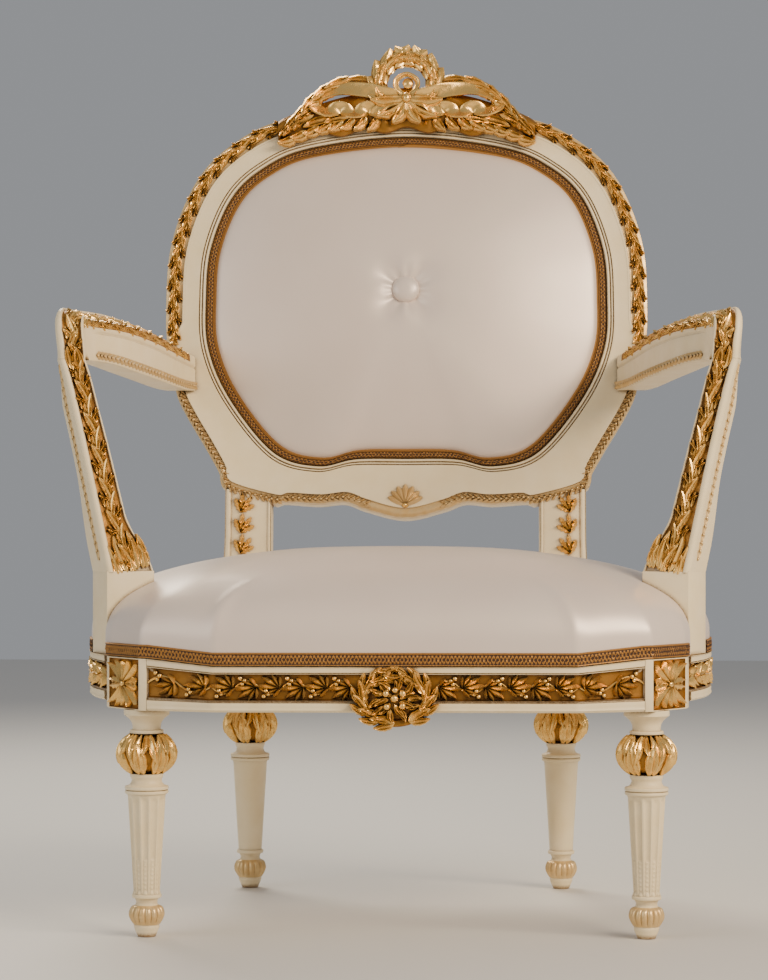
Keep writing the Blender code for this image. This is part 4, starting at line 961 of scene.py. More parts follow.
def ribbon(route, sign, width):
    """A carved ribbon to one side; a row of its route is (across, up, rise above the bow's front, lean of its
    face)."""
    rows = smooth([Vector((sign * u, v, FRONT + rise, sign * lean)) for u, v, rise, lean in route], 8)
    count = len(rows) - 1

    def place(s, t):
        k = round(t * count)
        row = rows[k]
        before, after = rows[max(k - 1, 0)], rows[min(k + 1, count)]
        along = (on_back(after.x, after.z, after.y) - on_back(before.x, before.z, before.y)).normalized()
        face = (back_ahead - along * back_ahead.dot(along)).normalized()
        face = Matrix.Rotation(row.w, 3, along) @ face
        side = along.cross(face)
        half = width / 2 * (1 - 0.65 * ramp(abs(2 * t - 1), 0.86, 1.0))
        ring = [(-1, -1), (-1, 1), (-0.78, 1.35), (-0.6, 0.6), (0, 0.9), (0.6, 0.6), (0.78, 1.35), (1, 1), (1, -1),
                (0, -1), (-1, -1)]
        a, b = ring[round(s * (len(ring) - 1))]
        return on_back(row.x, row.z, row.y) + side * (a * half) + face * (b * RIBBON_THICKNESS / 2)

    plant(crest, skin(10, count, place, lambda s, t: GILT))


RING_LOOP = [(0, 0.7090, 0.004, 0), (-0.0130, 0.7220, 0.005, 0.5), (-0.0140, 0.7350, 0.005, 0.8),
             (0, 0.7435, 0.004, 1.0), (0.0140, 0.7350, 0.005, 0.8), (0.0130, 0.7220, 0.005, 0.5),
             (0, 0.7090, 0.004, 0)]
SIDE_LOOP = [(0, KNOT_V, 0.003, 0), (0.030, 0.7150, 0.005, 0.4), (0.060, 0.7215, 0.004, 0.1),
             (0.094, 0.7230, 0.001, -0.4), (0.124, 0.7120, -0.003, -0.7), (0.128, 0.6990, -0.002, 0.5),
             (0.112, 0.6900, 0.002, 0.7), (0.092, 0.6960, 0, -0.4), (0.074, 0.6860, 0.004, 0.8),
             (0.054, 0.6960, 0.001, -0.5), (0.034, 0.6900, 0.003, 0.6), (0.010, 0.7050, 0.002, 0)]
RIBBON_END = [(0, KNOT_V, 0.004, 0), (0.026, 0.7010, 0.006, -0.4), (0.048, 0.6850, 0.002, 0.4)]
# Acanthus leaves of one side: across, up, length, turn in degrees and width
SIDE_LEAVES = [(0.046, 0.7330, 0.044, 12, 0.022), (0.070, 0.7350, 0.046, -2, 0.024),
               (0.094, 0.7300, 0.046, -20, 0.024), (0.116, 0.7190, 0.046, -36, 0.024),
               (0.134, 0.7040, 0.046, -48, 0.022), (0.122, 0.7050, 0.044, -30, 0.020),
               (0.144, 0.6900, 0.044, -40, 0.020), (0.130, 0.6870, 0.044, -24, 0.018),
               (0.106, 0.6820, 0.040, -10, 0.018), (0.080, 0.6840, 0.036, -4, 0.018),
               (0.150, 0.6790, 0.036, -30, 0.016)]
ribbon(RING_LOOP, 1, 0.0080)
for sign in (1, -1):
    ribbon(SIDE_LOOP, sign, 0.0200)
    ribbon(RIBBON_END, sign, 0.0150)
    for u, v, length, turn, width in SIDE_LEAVES:
        at = on_back(sign * u, CREST_FACE + 0.010, v)
        plant(crest, curled_leaf, laid(at, Vector((sign, 0, 0)), back_ahead, length, sign * -width, 0.0125,
                                       sign * math.radians(turn)))
    for k in range(8):
        at = on_back(sign * (0.040 + 0.0165 * k), CREST_FACE + 0.010, 0.6860 - 0.0011 * k * k * 0.55)
        plant(crest, curled_leaf, laid(at, -back_up + Vector((sign * (0.35 + 0.16 * k), 0, 0)), back_ahead, 0.026,
                                       sign * 0.0175, 0.0100))
    for turn, length in ((16, 0.040), (48, 0.048), (78, 0.050)):
        plant(crest, curled_leaf, laid(on_back(0, CREST_FACE + 0.019, 0.7080), -back_up, back_ahead, length,
                                       sign * 0.0250, 0.0110, sign * math.radians(turn)))
plant(crest, round_berry, laid(on_back(0, FRONT + 0.007, KNOT_V), back_up, back_ahead, 0.0085, 0.0065, 0.0065))
plant(crest, round_berry, laid(on_back(0.002, CREST_FACE + 0.016, 0.7320), back_up, back_ahead, 0.0085, 0.0085,
                               0.005))
bmesh.ops.translate(crest, vec=back_up * -CREST_DROP, verts=crest.verts)
fitted("gilded_crest", crest, carved_finishes, "crest_ornament")

# Arms and their supports. Each support stands on a plain block on the rail and rakes outwards to the elbow,
# where the arm is scarfed to it and sweeps back to the frame: ivory sides, gilded leaves on the face and top.
ELBOW_X = 0.413
ELBOW_Y = 0.062
ELBOW_TOP = 0.7780
ARM_HEIGHT = 0.066
ARM_HALF_WIDTH = 0.0185
POST_SPLAY = math.radians(23)
POST_TOP_SPLAY = math.radians(10)
POST_WIDTH = 0.0615
POST_DEPTH = 0.0640
BLOCK_TOP = CORNER_TOP + 0.104
POST_TOP = ELBOW_TOP - ARM_HEIGHT - SEAM
POST_FOOT = BLOCK_BACK + Vector((0.0005, 0.0060))
ARM_SHARES = [(1.0, 0.0, 0.0, 0.0), (0.92, 0.14, 0.02, 0.0), (0.60, 0.32, 0.105, 0.27), (0.34, 0.56, 0.36, 0.62),
              (0.13, 0.84, 0.75, 0.93), (0.0, 1.0, 1.0, 1.0)]


def post_section(share):
    """Front outer corner, width, depth and the outward and forward ways of the support, block top to elbow."""
    foot_x = POST_FOOT.x + (ELBOW_X + 0.0105 - POST_FOOT.x) * (0.92 * share + 0.08 * share ** 6)
    foot_y = POST_FOOT.y + (ELBOW_Y - POST_FOOT.y) * share
    width = POST_WIDTH * (1 - 0.30 * ramp(share, 0, 0.28) - 0.155 * share)
    depth = POST_DEPTH * (1 - 0.30 * ramp(share, 0.1, 0.5) - 0.06 * share)
    splay = POST_SPLAY + (POST_TOP_SPLAY - POST_SPLAY) * ramp(share, 0.75, 1.0)
    return (Vector((foot_x, foot_y, 0)), width, depth, Vector((math.cos(splay), -math.sin(splay), 0)),
            Vector((-math.sin(splay), -math.cos(splay), 0)))


def carved_section(width, depth, arm_share, lean_share):
    """The carved member's section: distance in from the outer side and height of the face, back outer corner
    first. The support's plain sides turn into the arm's moulded ones as arm_share goes to 1, and the face leans
    inwards and rounds over its outer edge as lean_share does."""
    m = arm_share * 0.0015
    lean = lean_share * 0.0130
    fall = lean_share * 0.0095
    keys = [(0, -depth), (0, -depth), (-m, -depth + 0.003), (-m, -depth + 0.008), (0.4 * m, -depth + 0.011),
            (0.4 * m, -0.45 * depth), (0, -0.020 - fall), (0, -0.008 - fall), (0.0006, -0.0024 - 0.82 * fall),
            (0.0028, 0.0006 - 0.50 * fall), (0.0056, 0.0012 - 0.20 * fall), (0.0084, 0.0002 - 0.04 * fall),
            (0.0096, -0.0026), (0.0096, -0.0026), (0.0112, -0.0036),
            (width / 2, -0.0024 - lean * 0.35), (width - 0.0052, -0.0036 - lean * 0.72),
            (width - 0.0036, -0.0024 - lean * 0.80), (width - 0.0036, -0.0024 - lean * 0.80),
            (width - 0.0024, -0.0004 - lean * 0.84), (width - 0.0006, -0.0014 - lean * 0.90),
            (width, -0.0060 - lean), (width, -0.20 * depth - lean),
            (width - m, -0.24 * depth - lean), (width - m, -0.27 * depth - lean), (width, -0.30 * depth - lean),
            (width, -0.72 * depth),
            (width + 0.4 * m, -0.80 * depth), (width + 1.2 * m, -0.90 * depth), (width + 0.4 * m, -0.985 * depth),
            (width, -depth), (width, -depth), (0, -depth)]
    return smooth(keys, 2)


# The section has 32 steps, of which the gilded band of the face takes those from the 12th to the 18th.
SECTION_STEPS = 32
BAND = (12.5 / SECTION_STEPS, 17.5 / SECTION_STEPS)


def arm_post():
    """The right support with its base block."""
    corner, width, depth, outer_way, front_way = post_section(0)
    plan = [corner, corner - outer_way * width, corner - outer_way * width - front_way * depth,
            corner - front_way * depth]
    bm = upright([p.xy for p in plan], CORNER_TOP + SEAM, BLOCK_TOP + SEAM)
    bmesh.ops.bevel(bm, geom=bm.edges[:], offset=0.0010, segments=3, profile=0.5, affect="EDGES", material=-1)

    def place(s, t):
        corner, width, depth, outer_way, front_way = post_section(t)
        w, d = at_share(carved_section(width, depth, 0, 0), s)
        p = corner - outer_way * w + front_way * d
        p.z = BLOCK_TOP - 0.0010 + (POST_TOP - BLOCK_TOP + 0.0010) * t
        return p

    plant(bm, skin(2 * SECTION_STEPS, 60, place,
                   lambda s, t: GROUND if BAND[0] < s < BAND[1] and t > 0.03 else PAINT))

    def rising(t, across, inset):
        """A place on the support and the way up it, at a share of its width and a distance behind the face."""
        points = []
        for share in (t, t + 0.01):
            corner, width, depth, outer_way, front_way = post_section(share)
            p = corner - outer_way * (width * across) - front_way * inset
            p.z = BLOCK_TOP + (POST_TOP - BLOCK_TOP) * share
            points.append(p)
        return points[0], points[1] - points[0], outer_way, front_way

    def face_station(t):
        width = post_section(t)[1]
        at, rise, outer_way, front_way = rising(min(t, 0.99), (0.0100 + (width - 0.0140) / 2) / width, 0.0034)
        return at, rise, front_way

    def side_station(t):
        at, rise, outer_way, front_way = rising(0.04 + 0.92 * t, 0.0, 0.022)
        return at - outer_way * 0.0004, rise, outer_way

    foliage(bm, face_station, 13, 0.0245, 0.040, 0.0074)
    for way in (1, -1):
        for across, length, turn in ((0.0070, 0.046, 0.16), (0.0140, 0.038, 0.30), (0.0190, 0.026, 0.10)):
            plant(bm, curled_leaf, bent(face_station, POST_TOP - BLOCK_TOP, 0.004, way * across, length,
                                        way * -0.0150, 0.0070, way * turn))
    at, rise, front_way = face_station(0.955)
    for across, length, turn in ((-0.0052, 0.028, 0.10), (0.0052, 0.030, -0.12), (0.0, 0.024, 0.0)):
        plant(bm, curled_leaf, laid(at + rise.cross(front_way).normalized() * across, rise, front_way, length,
                                    math.copysign(0.0120, across), 0.0070, turn))
    husks(bm, side_station, 24, 0.0120)
    return bm


fitted_pair("carved_arm_support", arm_post(), "arm_post")

arm_root_angle = math.pi / 2 - 0.25
root_u = medallion_point(arm_root_angle, frame_width(arm_root_angle))[0] - ARM_HALF_WIDTH - 0.002
arm_end = FRAME_FACE + SEAM
arm_root = on_back(root_u, arm_end, (ARM_ROOT_LOW + ARM_ROOT_HIGH) / 2)
fall_top = ELBOW_TOP - on_back(0, 0, ARM_ROOT_HIGH).z
fall_bottom = ELBOW_TOP - ARM_HEIGHT - on_back(0, 0, ARM_ROOT_LOW).z
arm_path = smooth([(arm_root.x + (ELBOW_X - arm_root.x) * a, ELBOW_Y + (arm_root.y - ELBOW_Y) * b, 0)
                   for a, b, c, d in ARM_SHARES], 14)
arm_falls = smooth([(c, d, 0) for a, b, c, d in ARM_SHARES], 14)
# The elbow's turn takes this share of the arm's length, and its centre lies this share along the arm's path.
TURN_SHARE = 0.24
PATH_START = 0.150


def arm_at(t):
    """Plan point, way along, outward side, top and bottom of the arm, from elbow to root."""
    p = at_share(arm_path, t)
    step = (at_share(arm_path, min(t + 0.01, 1)) - at_share(arm_path, max(t - 0.01, 0))).normalized()
    fall = at_share(arm_falls, t)
    bottom = ELBOW_TOP - ARM_HEIGHT - fall_bottom * max(fall.y, 0) * ramp(t * 15, 2, 7)
    return p, step, Vector((step.y, -step.x, 0)), ELBOW_TOP - fall_top * fall.x, bottom


def arm_frame(t):
    """Foot, outward way and facing way of the arm's section, its width and its depth: the section turns over
    from the support's level one to upright ones that run back to the frame."""
    p, step, side, top, bottom = arm_at(PATH_START + (1 - PATH_START) * max(t - TURN_SHARE, 0) / (1 - TURN_SHARE))
    foot = Vector((p.x, p.y, bottom))
    if t >= TURN_SHARE:
        return foot, side, Vector((0, 0, 1)), 2 * ARM_HALF_WIDTH, top - bottom
    corner, width, depth, outer_way, front_way = post_section(1)
    first = corner - outer_way * (width / 2) - front_way * depth
    first.z = ELBOW_TOP - ARM_HEIGHT
    turn = t / TURN_SHARE * math.pi / 2
    mix = math.sin(turn) ** 2
    foot = first.lerp(foot, mix)
    side = outer_way.lerp(side, mix).normalized()
    ahead = Vector((side.y, -side.x, 0))
    ahead *= 1 if ahead.y < 0 else -1
    facing = ahead * math.cos(turn) + Vector((0, 0, 1)) * math.sin(turn)
    reach = ((math.cos(turn) / depth) ** 3.6 + (math.sin(turn) / (top - bottom)) ** 3.6) ** (-1 / 3.6)
    return foot, side, facing, width + (2 * ARM_HALF_WIDTH - width) * mix, reach


def arm_place(s, t):
    """The arm's surface round its section and from elbow to root."""
    foot, side, facing, width, depth = arm_frame(t)
    w, d = at_share(carved_section(width, depth, ramp(t, 0.25, 0.36), ramp(t, 0.04, 0.26)), s)
    q = foot + side * (width / 2 - w) + facing * (depth + d)
    if t > 0.93:
        v = (q.z - BACK_ORIGIN.z) / math.cos(BACK_RAKE)
        flat = on_back(arm_root.x + width / 2 - w, arm_end, v - arm_end * math.tan(BACK_RAKE))
        q = q.lerp(flat, ramp(t, 0.93, 1.0))
    return q


arm = skin(2 * SECTION_STEPS, 130, arm_place,
           lambda s, t: GROUND if BAND[0] < s < (21.6 / SECTION_STEPS if 0.20 < t < 0.92 else BAND[1]) else PAINT)


def arm_station(t, across, down, roll):
    """A place on the arm's face at a share of its width, the way back along it and the way that it faces."""
    t = 0.985 * t
    foot, side, facing, width, depth = arm_frame(t)
    foot2, side2, facing2, width2, depth2 = arm_frame(t + 0.01)
    lean = 0.0130 * ramp(t, 0.05, 0.30) * across * roll
    at = foot + side * (width * (0.5 - across)) + facing * (depth - down - lean)
    along = foot2 + side2 * (width2 * (0.5 - across)) + facing2 * (depth2 - down - lean) - at
    return at, along, facing - side * (0.55 * ramp(t, 0.05, 0.30) * roll)


def upper_side_station(t):
    """A place on the gilded upper part of the arm's inner side."""
    foot, side, facing, width, depth = arm_frame(0.16 + 0.72 * t)
    ahead_foot, _, ahead_facing, _, ahead_depth = arm_frame(0.17 + 0.72 * t)
    at = foot - side * (width / 2 - 0.0012) + facing * (depth - 0.0175)
    return at, ahead_foot + ahead_facing * (ahead_depth - 0.0175) - foot - facing * (depth - 0.0175), -side


def lower_edge_station(t):
    """A place on the roll along the arm's lower inner edge."""
    foot, side, facing, width, depth = arm_frame(0.30 + 0.68 * t)
    ahead_foot = arm_frame(min(0.31 + 0.68 * t, 1))[0]
    return foot - side * (width / 2 + 0.0012) + facing * (depth * 0.11), ahead_foot - foot, -side


def outer_side_station(t):
    """A place half way up the arm's outer side."""
    foot, side, facing, width, depth = arm_frame(0.30 + 0.64 * t)
    at = foot + side * (width / 2 + 0.0006) + facing * (depth * 0.45)
    return at, arm_frame(0.31 + 0.64 * t)[0] - foot, side


foliage(arm, lambda t: arm_station(t, 0.60, 0.0034, 1), 22, 0.0235, 0.036, 0.0070)
foliage(arm, upper_side_station, 20, 0.0115, 0.025, 0.0042)
husks(arm, lower_edge_station, 34, 0.0095)
husks(arm, outer_side_station, 30, 0.0110)
fitted_pair("carved_arm", arm, "arm")

# Seat and back upholstery. Ivory satin over hair stuffing on webbing: the seat is stretched over a crowned
# stuffing and tacked along the rails, with a crease where the front turns, and the inside back is drawn in by
# one covered button. The outside back is the same satin over a flat lining.
CUSHION_CROWN = 0.134
CUSHION_INSET = 0.0020
GIMP_WIDTH = 0.0125
GIMP_THICKNESS = 0.0028
PAD_SEAT = 0.0065
PAD_CROWN = 0.038
PAD_EDGE = 0.0040
BUTTON_SINK = 0.010
BUTTON_RADIUS = 0.019
WARP_PITCH = 0.0011


def ivory_satin():
    """Silk satin, woven so that its warp floats on the face: smooth, with a broad silvery sheen that follows
    every bend, and fine warp lines (real ones are 0.05 mm apart and drawn here at about 1 mm so that they show)."""
    finish, tree, shader, place = new_finish("ivory_silk_satin")
    threads = add_node(tree, "ShaderNodeTexWave", {"Vector": place, "Scale": 1 / WARP_PITCH / 6.28,
                                                   "Distortion": 0.4, "Detail": 1.0}, bands_direction="X")
    drift = add_node(tree, "ShaderNodeTexNoise", {"Vector": place, "Scale": 9.0, "Detail": 3.0}).outputs["Fac"]
    tone = add_node(tree, "ShaderNodeMix", {"Factor": drift, "A": linear("#E6D9CE"), "B": linear("#DCCBBE")},
                    data_type="RGBA")
    rough = add_node(tree, "ShaderNodeMapRange", {"Value": drift, "To Min": 0.34, "To Max": 0.42})
    relief = add_node(tree, "ShaderNodeBump", {"Height": threads.outputs["Fac"], "Strength": 0.10,
                                               "Distance": 0.0002})
    set_inputs(tree, shader, {"Base Color": tone.outputs["Result"], "Metallic": 0.18, "Specular IOR Level": 0.75,
                              "Sheen Weight": 0.25, "Sheen Roughness": 0.35, "Roughness": rough.outputs["Result"],
                              "Normal": relief.outputs["Normal"]})
    return finish


satin = ivory_satin()


def inset_path(path, distance, closed=False):
    """The path moved inwards with mitred corners, where inwards is to the left of its direction."""
    result = []
    count = len(path)
    for i, p in enumerate(path):
        before = path[i - 1] if closed or i else p
        after = path[(i + 1) % count] if closed or i < count - 1 else p
        normals = []
        for a, b in ((before, p), (p, after)):
            if (b - a).length > 0:
                normals.append(Vector((a.y - b.y, b.x - a.x)).normalized())
        mitre = sum(normals, Vector((0, 0))).normalized()
        result.append(p + mitre * distance / max(mitre.dot(normals[0]), 0.5))
    return result


def seat_outline():
    """The seat's plan, right half from the middle of the front to the middle of the back."""
    front = evenly([front_face(0), front_face(BEND_X)], 0.006)
    cant = evenly([front_face(BEND_X), CANT_START], 0.006)[1:] + evenly([CANT_START, CANT_END], 0.006)[1:]
    side = evenly([CANT_END, *side_path(side_start)], 0.006)[1:]
    back = evenly([side[-1], Vector((STILE_INNER_X, BACK_Y)), Vector((0, BACK_Y))], 0.008)[1:]
    return front + cant + side + back


outline = seat_outline()
outline += [Vector((-p.x, p.y)) for p in reversed(outline[1:-1])]
outline.append(outline[0])
seat_border = inset_path(outline[:-1], CUSHION_INSET, closed=True)
seat_border.append(seat_border[0])
seat_middle = Vector((0, (FACE_Y + BACK_Y) / 2))
soft_border = seat_border[:-1]
for smoothing in range(90):
    soft_border = [soft_border[i - 1].lerp(soft_border[(i + 1) % len(soft_border)], 0.5).lerp(p, 0.5)
                   for i, p in enumerate(soft_border)]
soft_border.append(soft_border[0])
seat_levels = smooth([(0.02, -0.02), (1.0, 0.0), (1.0, 0.0), (1.0, 0.14), (0.995, 0.30), (0.965, 0.47),
                      (0.90, 0.615), (0.78, 0.760), (0.60, 0.885), (0.36, 0.975), (0.14, 1.0), (0.0, 1.002)], 5)


def seat_place(s, t):
    """The crowned seat: round its plan and from the lining up over the crown."""
    k = round(s * (len(outline) - 1))
    share, height = at_share(seat_levels, t)
    p = outline[k]
    border = seat_border[k].lerp(soft_border[k], 0.9 * ramp(height, 0.15, 0.70))
    q = seat_middle + (border - seat_middle) * share
    floor = SEAM + (rail_top(p.x) if p.y < CANT_END.y else CORNER_TOP)
    z = floor + (CORNER_TOP + CUSHION_CROWN - 0.002 - floor) * height
    crease = math.exp(-((abs(p.x) - BEND_X) / 0.010) ** 2) if p.y < 0.0 else 0.0
    z += 0.0048 * crease * ramp(height, 0.10, 0.35) * ramp(share, 0.75, 0.97)
    pull = 0.0010 * math.sin(k * 2.1) * ramp(share, 0.93, 1.0) * ramp(0.30 - height, 0, 0.2)
    return Vector((q.x, q.y, z + pull))


seat = skin(len(outline) - 1, len(seat_levels) - 1, seat_place)
bmesh.ops.recalc_face_normals(seat, faces=seat.faces)
seat_piece = fitted("satin_seat", seat, [satin], "seat_cushion", crease=60)


def cut_notches(piece):
    """Cuts the seat's corners out round the arm supports and the stiles, as the cover is cut and turned in."""
    corner, width, depth, outer_way, front_way = post_section(0)
    near = corner + front_way * 0.001
    far = corner - front_way * (depth + 0.001)
    reach = outer_way * (width + 0.001)
    post_plan = [near + outer_way * 0.04, near - reach, far - reach, far + outer_way * 0.04]
    stile_plan = [Vector((STILE_INNER_X - 0.004, STILE_FRONT_Y - 0.001)),
                  Vector((STILE_OUTER_X + 0.004, STILE_FRONT_Y - 0.001)),
                  Vector((STILE_OUTER_X + 0.004, BACK_Y + 0.03)), Vector((STILE_INNER_X - 0.004, BACK_Y + 0.03))]
    tools = []
    for plan in (post_plan, stile_plan):
        for sign in (1, -1):
            bm = upright([(sign * p.x, p.y + CHAIR_TO_FRAME) for p in plan], LEG_HEIGHT, LEG_HEIGHT + 0.3)
            bmesh.ops.recalc_face_normals(bm, faces=bm.faces)
            mesh = bpy.data.meshes.new("notch")
            bm.to_mesh(mesh)
            bm.free()
            tool = bpy.data.objects.new("notch", mesh)
            bpy.context.scene.collection.objects.link(tool)
            cut = piece.modifiers.new("notch", "BOOLEAN")
            cut.operation = "DIFFERENCE"
            cut.solver = "EXACT"
            cut.object = tool
            tools.append(tool)
    bpy.context.view_layer.update()
    cut_mesh = bpy.data.meshes.new_from_object(piece.evaluated_get(bpy.context.evaluated_depsgraph_get()))
    piece.modifiers.clear()
    piece.data = cut_mesh
    for tool in tools:
        bpy.data.objects.remove(tool)


cut_notches(seat_piece)


def pad_place(s, t):
    """The inside back from its hidden edge up over the crown and down to the button."""
    angle = math.pi * (2 * s - 1)
    share, height = at_share(pad_levels, t)
    inwards = PAD_EDGE + (GIMP_WIDTH + 0.0015 - PAD_EDGE) * ramp(t, 2.0 / PAD_STEPS, 3.0 / PAD_STEPS)
    u, v = medallion_point(angle, -inwards)
    reach = math.hypot(u * share, (v - CENTRE) * share)
    folds = 0.0016 * math.cos(4 * angle) * math.exp(-((reach - 0.030) / 0.022) ** 2)
    folds += 0.0006 * math.cos(11 * angle + 1) * math.exp(-((reach - 0.024) / 0.012) ** 2)
    return on_back(u * share, height + folds, CENTRE + (v - CENTRE) * share)


pad_keys = [(1, -0.010), (1, -0.010), (1, PAD_SEAT), (1, PAD_SEAT)]
for share in (0.985, 0.955, 0.90, 0.82, 0.72, 0.60, 0.48, 0.36, 0.27, 0.20, 0.14, 0.10, 0.06, 0.0):
    sink = BUTTON_SINK * math.exp(-(share / 0.125) ** 2) + 0.30 * BUTTON_SINK * math.exp(-(share / 0.34) ** 2)
    edge = 0.0010 + 0.0040 * (1 - math.exp(-(1 - share) / 0.022))
    pad_keys.append((share, PAD_SEAT + edge + (PAD_CROWN - 0.0050) * (1 - share ** 2.1) - sink))
PAD_STEPS = len(pad_keys) - 1
pad_levels = smooth(pad_keys, 4)
pad = skin(180, len(pad_levels) - 1, pad_place)
pad_piece = fitted("satin_inside_back", pad, [satin], "back_pad", crease=60)

button_profile = smooth([(0, 0.0088), (0.006, 0.0086), (0.0125, 0.0072), (0.0172, 0.0042), (0.0188, 0.0010),
                         (0.0170, -0.002), (0.0170, -0.002), (0, -0.002)], 4)
button = turned(button_profile, 48)
button_height = PAD_SEAT + PAD_CROWN - BUTTON_SINK * 0.92
turn_up = Matrix.Rotation(math.pi / 2 - BACK_RAKE, 4, "X")
bmesh.ops.transform(button, verts=button.verts,
                    matrix=Matrix.Translation(on_back(0, button_height, CENTRE)) @ turn_up)
fitted("satin_button", button, [satin], "back_button", crease=60)


def panel_place(s, t):
    """The flat outside back, slightly domed."""
    share, height = at_share(panel_levels, t)
    u, v = medallion_point(math.pi * (2 * s - 1), -PAD_EDGE - 0.001)
    return on_back(u * share, height, CENTRE + (v - CENTRE) * share)


panel_levels = smooth([(1, -0.0105), (1, -0.0105), (1, -0.026), (1, -0.026), (0.97, -0.032), (0.7, -0.0385),
                       (0.3, -0.0410), (0.0, -0.0415)], 4)
panel_levels.append(panel_levels[-1])
panel = skin(120, len(panel_levels) - 1, panel_place)
fitted("satin_outside_back", panel, [satin], "back_panel", crease=60)

# Gimp. Woven silk and metal-thread braid, glued over the tacks round the seat and the inside back: two corded
# edges with a chain of crossed loops between them.
SEAT_GIMP_HEIGHT = 0.0168
LOOP_PITCH = 0.0092


def bronze_gimp():
    """Braid of bronze-gold silk with a metal thread, glinting on the cords, with near-black painted shade in its
    hollows.
    """
    finish, tree, shader, place = new_finish("bronze_gold_gimp_braid")
    fibres = add_node(tree, "ShaderNodeTexNoise", {"Vector": place, "Scale": 900.0, "Detail": 3.0}).outputs["Fac"]
    hollow = recesses(tree, 0.0030, 0.40, 0.92)
    thread = add_node(tree, "ShaderNodeMix", {"Factor": fibres, "A": linear("#C08A3C"), "B": linear("#7E5220")},
                      data_type="RGBA")
    # Painted shade: near-black brown mixed in where ambient occlusion is deep.
    shaded = add_node(tree, "ShaderNodeMix", {"Factor": hollow, "A": thread.outputs["Result"],
                                              "B": linear("#2A1607")}, data_type="RGBA")
    relief = add_node(tree, "ShaderNodeBump", {"Height": fibres, "Strength": 0.3, "Distance": 0.0004})
    set_inputs(tree, shader, {"Base Color": shaded.outputs["Result"], "Metallic": 0.35, "Roughness": 0.48,
                              "Normal": relief.outputs["Normal"]})
    return finish


gimp = bronze_gimp()
# Painted shade in the lattice's holes between the threads: a flat dark brown.
gimp_hole_shade, hole_shade_tree, hole_shade_shader, _ = new_finish("painted_shade_in_gimp_holes")
set_inputs(hole_shade_tree, hole_shade_shader, {"Base Color": linear("#3A2210"), "Roughness": 0.7})
braid_finishes = [gimp, gimp_hole_shade]


def braid_height(distance, across):
    """Relief of the braid, 0 to 1, at a distance along it and a share across it."""
    edge = min(across, 1 - across)
    cord = max(0, 1 - ((edge - 0.07) / 0.075) ** 2) ** 0.5 * (0.80 + 0.20 * math.sin(distance * 3600 + across * 9))
    best = 0.25
    for phase in (0, math.pi):
        line = 0.5 + 0.24 * math.sin(2 * math.pi * distance / LOOP_PITCH + phase)
        over = 0.82 + 0.18 * math.cos(2 * math.pi * distance / LOOP_PITCH + phase)
        best = max(best, max(0, 1 - ((across - line) / 0.105) ** 2) ** 0.5 * over)
    return max(best, cord)


def braid_strip(points, depth_way, up_way, width):
    """A length of braid along points, each with the way it faces and the way its width runs."""
    lengths = lengths_along(points)
    count = len(points) - 1
    columns = 16

    def place(s, t):
        k = round(t * count)
        step = s * (columns + 2) - 1
        across = min(max(step / columns, 0), 1)
        lift = GIMP_THICKNESS * (0.35 + 0.60 * braid_height(lengths[k], across)) if 0 <= step <= columns else 0.0
        return points[k] + up_way[k] * (width * across) + depth_way[k] * lift

    # Faces in the lattice's holes take the flat dark brown of painted shade.
    def in_shaded_hole(s, t):
        across = (s * (columns + 2) - 1) / columns
        return int(0 < across < 1 and braid_height(lengths[int(t * count)], across) < 0.42)

    return skin(columns + 2, count, place, in_shaded_hole)


def seat_braid(path, tops):
    """Braid that stands on the rail along a plan path."""
    path = inset_path(path, CUSHION_INSET - SEAM)
    facing = [-inward_at(path, k).to_3d() for k in range(len(path))]
    points = [Vector((p.x, p.y, top + SEAM)) for p, top in zip(path, tops)]
    return braid_strip(points, facing, [Vector((0, 0, 1))] * len(points), SEAT_GIMP_HEIGHT)


half = evenly([front_face(0), front_face(BEND_X)], 0.0012)
half += evenly([front_face(BEND_X), CANT_START], 0.0012)[1:]
half += evenly([CANT_START, CANT_END, CANT_END.lerp(side_start, 0.7)], 0.0012)[1:]
front = [Vector((-p.x, p.y)) for p in reversed(half[1:])] + half
fitted("gimp_front", seat_braid(front, [rail_top(p.x) for p in front]), braid_finishes, "seat_gimp_front")
side_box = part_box("seat_gimp_side_right")
fine_side = evenly(side_path(side_start), 0.0012)
side_run = [p for p in fine_side if side_box[0].y - CHAIR_TO_FRAME < p.y < side_box[1].y - CHAIR_TO_FRAME]
side_braid = seat_braid(side_run, [CORNER_TOP] * len(side_run))
other_braid = side_braid.copy()
bmesh.ops.scale(other_braid, vec=(-1, 1, 1), verts=other_braid.verts)
fitted("gimp_side_right", side_braid, braid_finishes, "seat_gimp_side_right")
fitted("gimp_side_left", other_braid, braid_finishes, "seat_gimp_side_left")
reach = STILE_INNER_X - 0.005
rear = evenly([Vector((reach, BACK_Y)), Vector((-reach, BACK_Y))], 0.0012)
fitted("gimp_rear", seat_braid(rear, [CORNER_TOP] * len(rear)), braid_finishes, "seat_gimp_back")

BACK_BRAID_STATIONS = 1180
BACK_BRAID_LENGTH = 157 * LOOP_PITCH
BACK_BRAID_COLUMNS = 14


def medallion_braid(s, t):
    """Braid round the inside back, lying on the edge of the satin."""
    angle = math.pi * (2 * t - 1)
    step = s * (BACK_BRAID_COLUMNS + 2) - 1
    across = min(max(step / BACK_BRAID_COLUMNS, 0), 1)
    lift = 0
    if 0 <= step <= BACK_BRAID_COLUMNS:
        lift = GIMP_THICKNESS * (0.30 + 0.65 * braid_height(t * BACK_BRAID_LENGTH, across))
    u, v = medallion_point(angle, -0.0008 - (GIMP_WIDTH - 0.0023) * across)
    return on_back(u, PAD_SEAT + SEAM + lift, v)


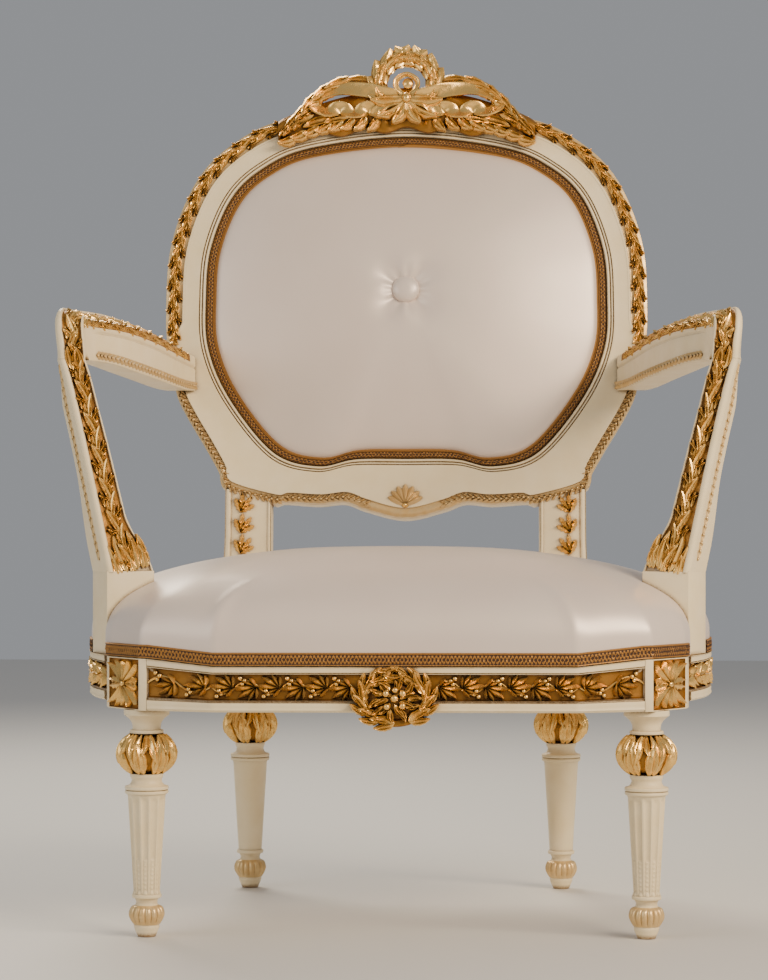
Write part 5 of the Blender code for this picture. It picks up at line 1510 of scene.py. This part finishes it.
def closed_braid():
    """The ring of braid with its underside closed."""
    bm = bmesh.new()
    bmesh.ops.create_grid(bm, x_segments=BACK_BRAID_COLUMNS + 2, y_segments=BACK_BRAID_STATIONS, size=0.5)
    for face in bm.faces:
        middle = face.calc_center_median()
        across = ((middle.x + 0.5) * (BACK_BRAID_COLUMNS + 2) - 1) / BACK_BRAID_COLUMNS
        # Faces in the lattice's holes take the flat dark brown of painted shade.
        face.material_index = int(0 < across < 1
                                  and braid_height((middle.y + 0.5) * BACK_BRAID_LENGTH, across) < 0.42)
    for vert in bm.verts:
        vert.co = medallion_braid(vert.co.x + 0.5, vert.co.y + 0.5)
    bmesh.ops.remove_doubles(bm, verts=bm.verts, dist=0.000004)
    rims = [edge for edge in bm.edges if edge.is_boundary]
    bmesh.ops.bridge_loops(bm, edges=rims)
    return bm


fitted("gimp_round_back", closed_braid(), braid_finishes, "back_gimp")

# Studio. A plain pale floor, large soft lights and the camera at the height and distance of the photograph's.
CAMERA_AT = Vector((0.1037, -3.840, 0.548))
CAMERA_TURN = 0.03083
floor_mesh = bmesh.new()
bmesh.ops.create_grid(floor_mesh, x_segments=1, y_segments=1, size=6.0)
bmesh.ops.translate(floor_mesh, vec=(0, 0, -0.0005), verts=floor_mesh.verts)
floor_data = bpy.data.meshes.new("studio_floor")
floor_mesh.to_mesh(floor_data)
floor_mesh.free()
studio_floor = bpy.data.objects.new("studio_floor", floor_data)
bpy.context.scene.collection.objects.link(studio_floor)
floor_finish, floor_tree, floor_shader, _ = new_finish("pale_painted_floor")
set_inputs(floor_tree, floor_shader, {"Base Color": linear("#D9D7D3"), "Roughness": 0.65})
floor_data.materials.append(floor_finish)

world = bpy.data.worlds.new("studio")
bpy.context.scene.world = world
world.use_nodes = True
set_inputs(world.node_tree, world.node_tree.nodes["Background"], {"Color": linear("#DADDE2"), "Strength": 0.42})


def soft_light(name, at, target, size, power, colour):
    """A large area light at a point, turned to a target."""
    lamp = bpy.data.lights.new(name, "AREA")
    lamp.shape = "RECTANGLE"
    lamp.size, lamp.size_y = size
    lamp.energy = power
    lamp.color = linear(colour)[:3]
    light = bpy.data.objects.new(name, lamp)
    light.location = at
    light.rotation_euler = (Vector(target) - Vector(at)).to_track_quat("-Z", "Y").to_euler()
    bpy.context.scene.collection.objects.link(light)


soft_light("key", (2.2, -2.1, 2.0), (0, 0, 0.5), (2.4, 0.8), 135, "#FFE9CC")
soft_light("fill", (-2.6, -1.8, 1.5), (0, 0, 0.5), (2.4, 1.6), 30, "#F6F1EA")
soft_light("rim", (-0.9, 2.2, 2.4), (0, 0, 0.6), (1.6, 1.0), 70, "#FFF3DF")

lens = bpy.data.cameras.new("camera")
lens.lens = 115.1
lens.sensor_width = 36
lens.clip_end = 50
camera = bpy.data.objects.new("camera", lens)
camera.location = CAMERA_AT + Vector((0, CHAIR_TO_FRAME, 0))
camera.rotation_euler = (math.pi / 2, 0, CAMERA_TURN)
bpy.context.scene.collection.objects.link(camera)
bpy.context.scene.camera = camera
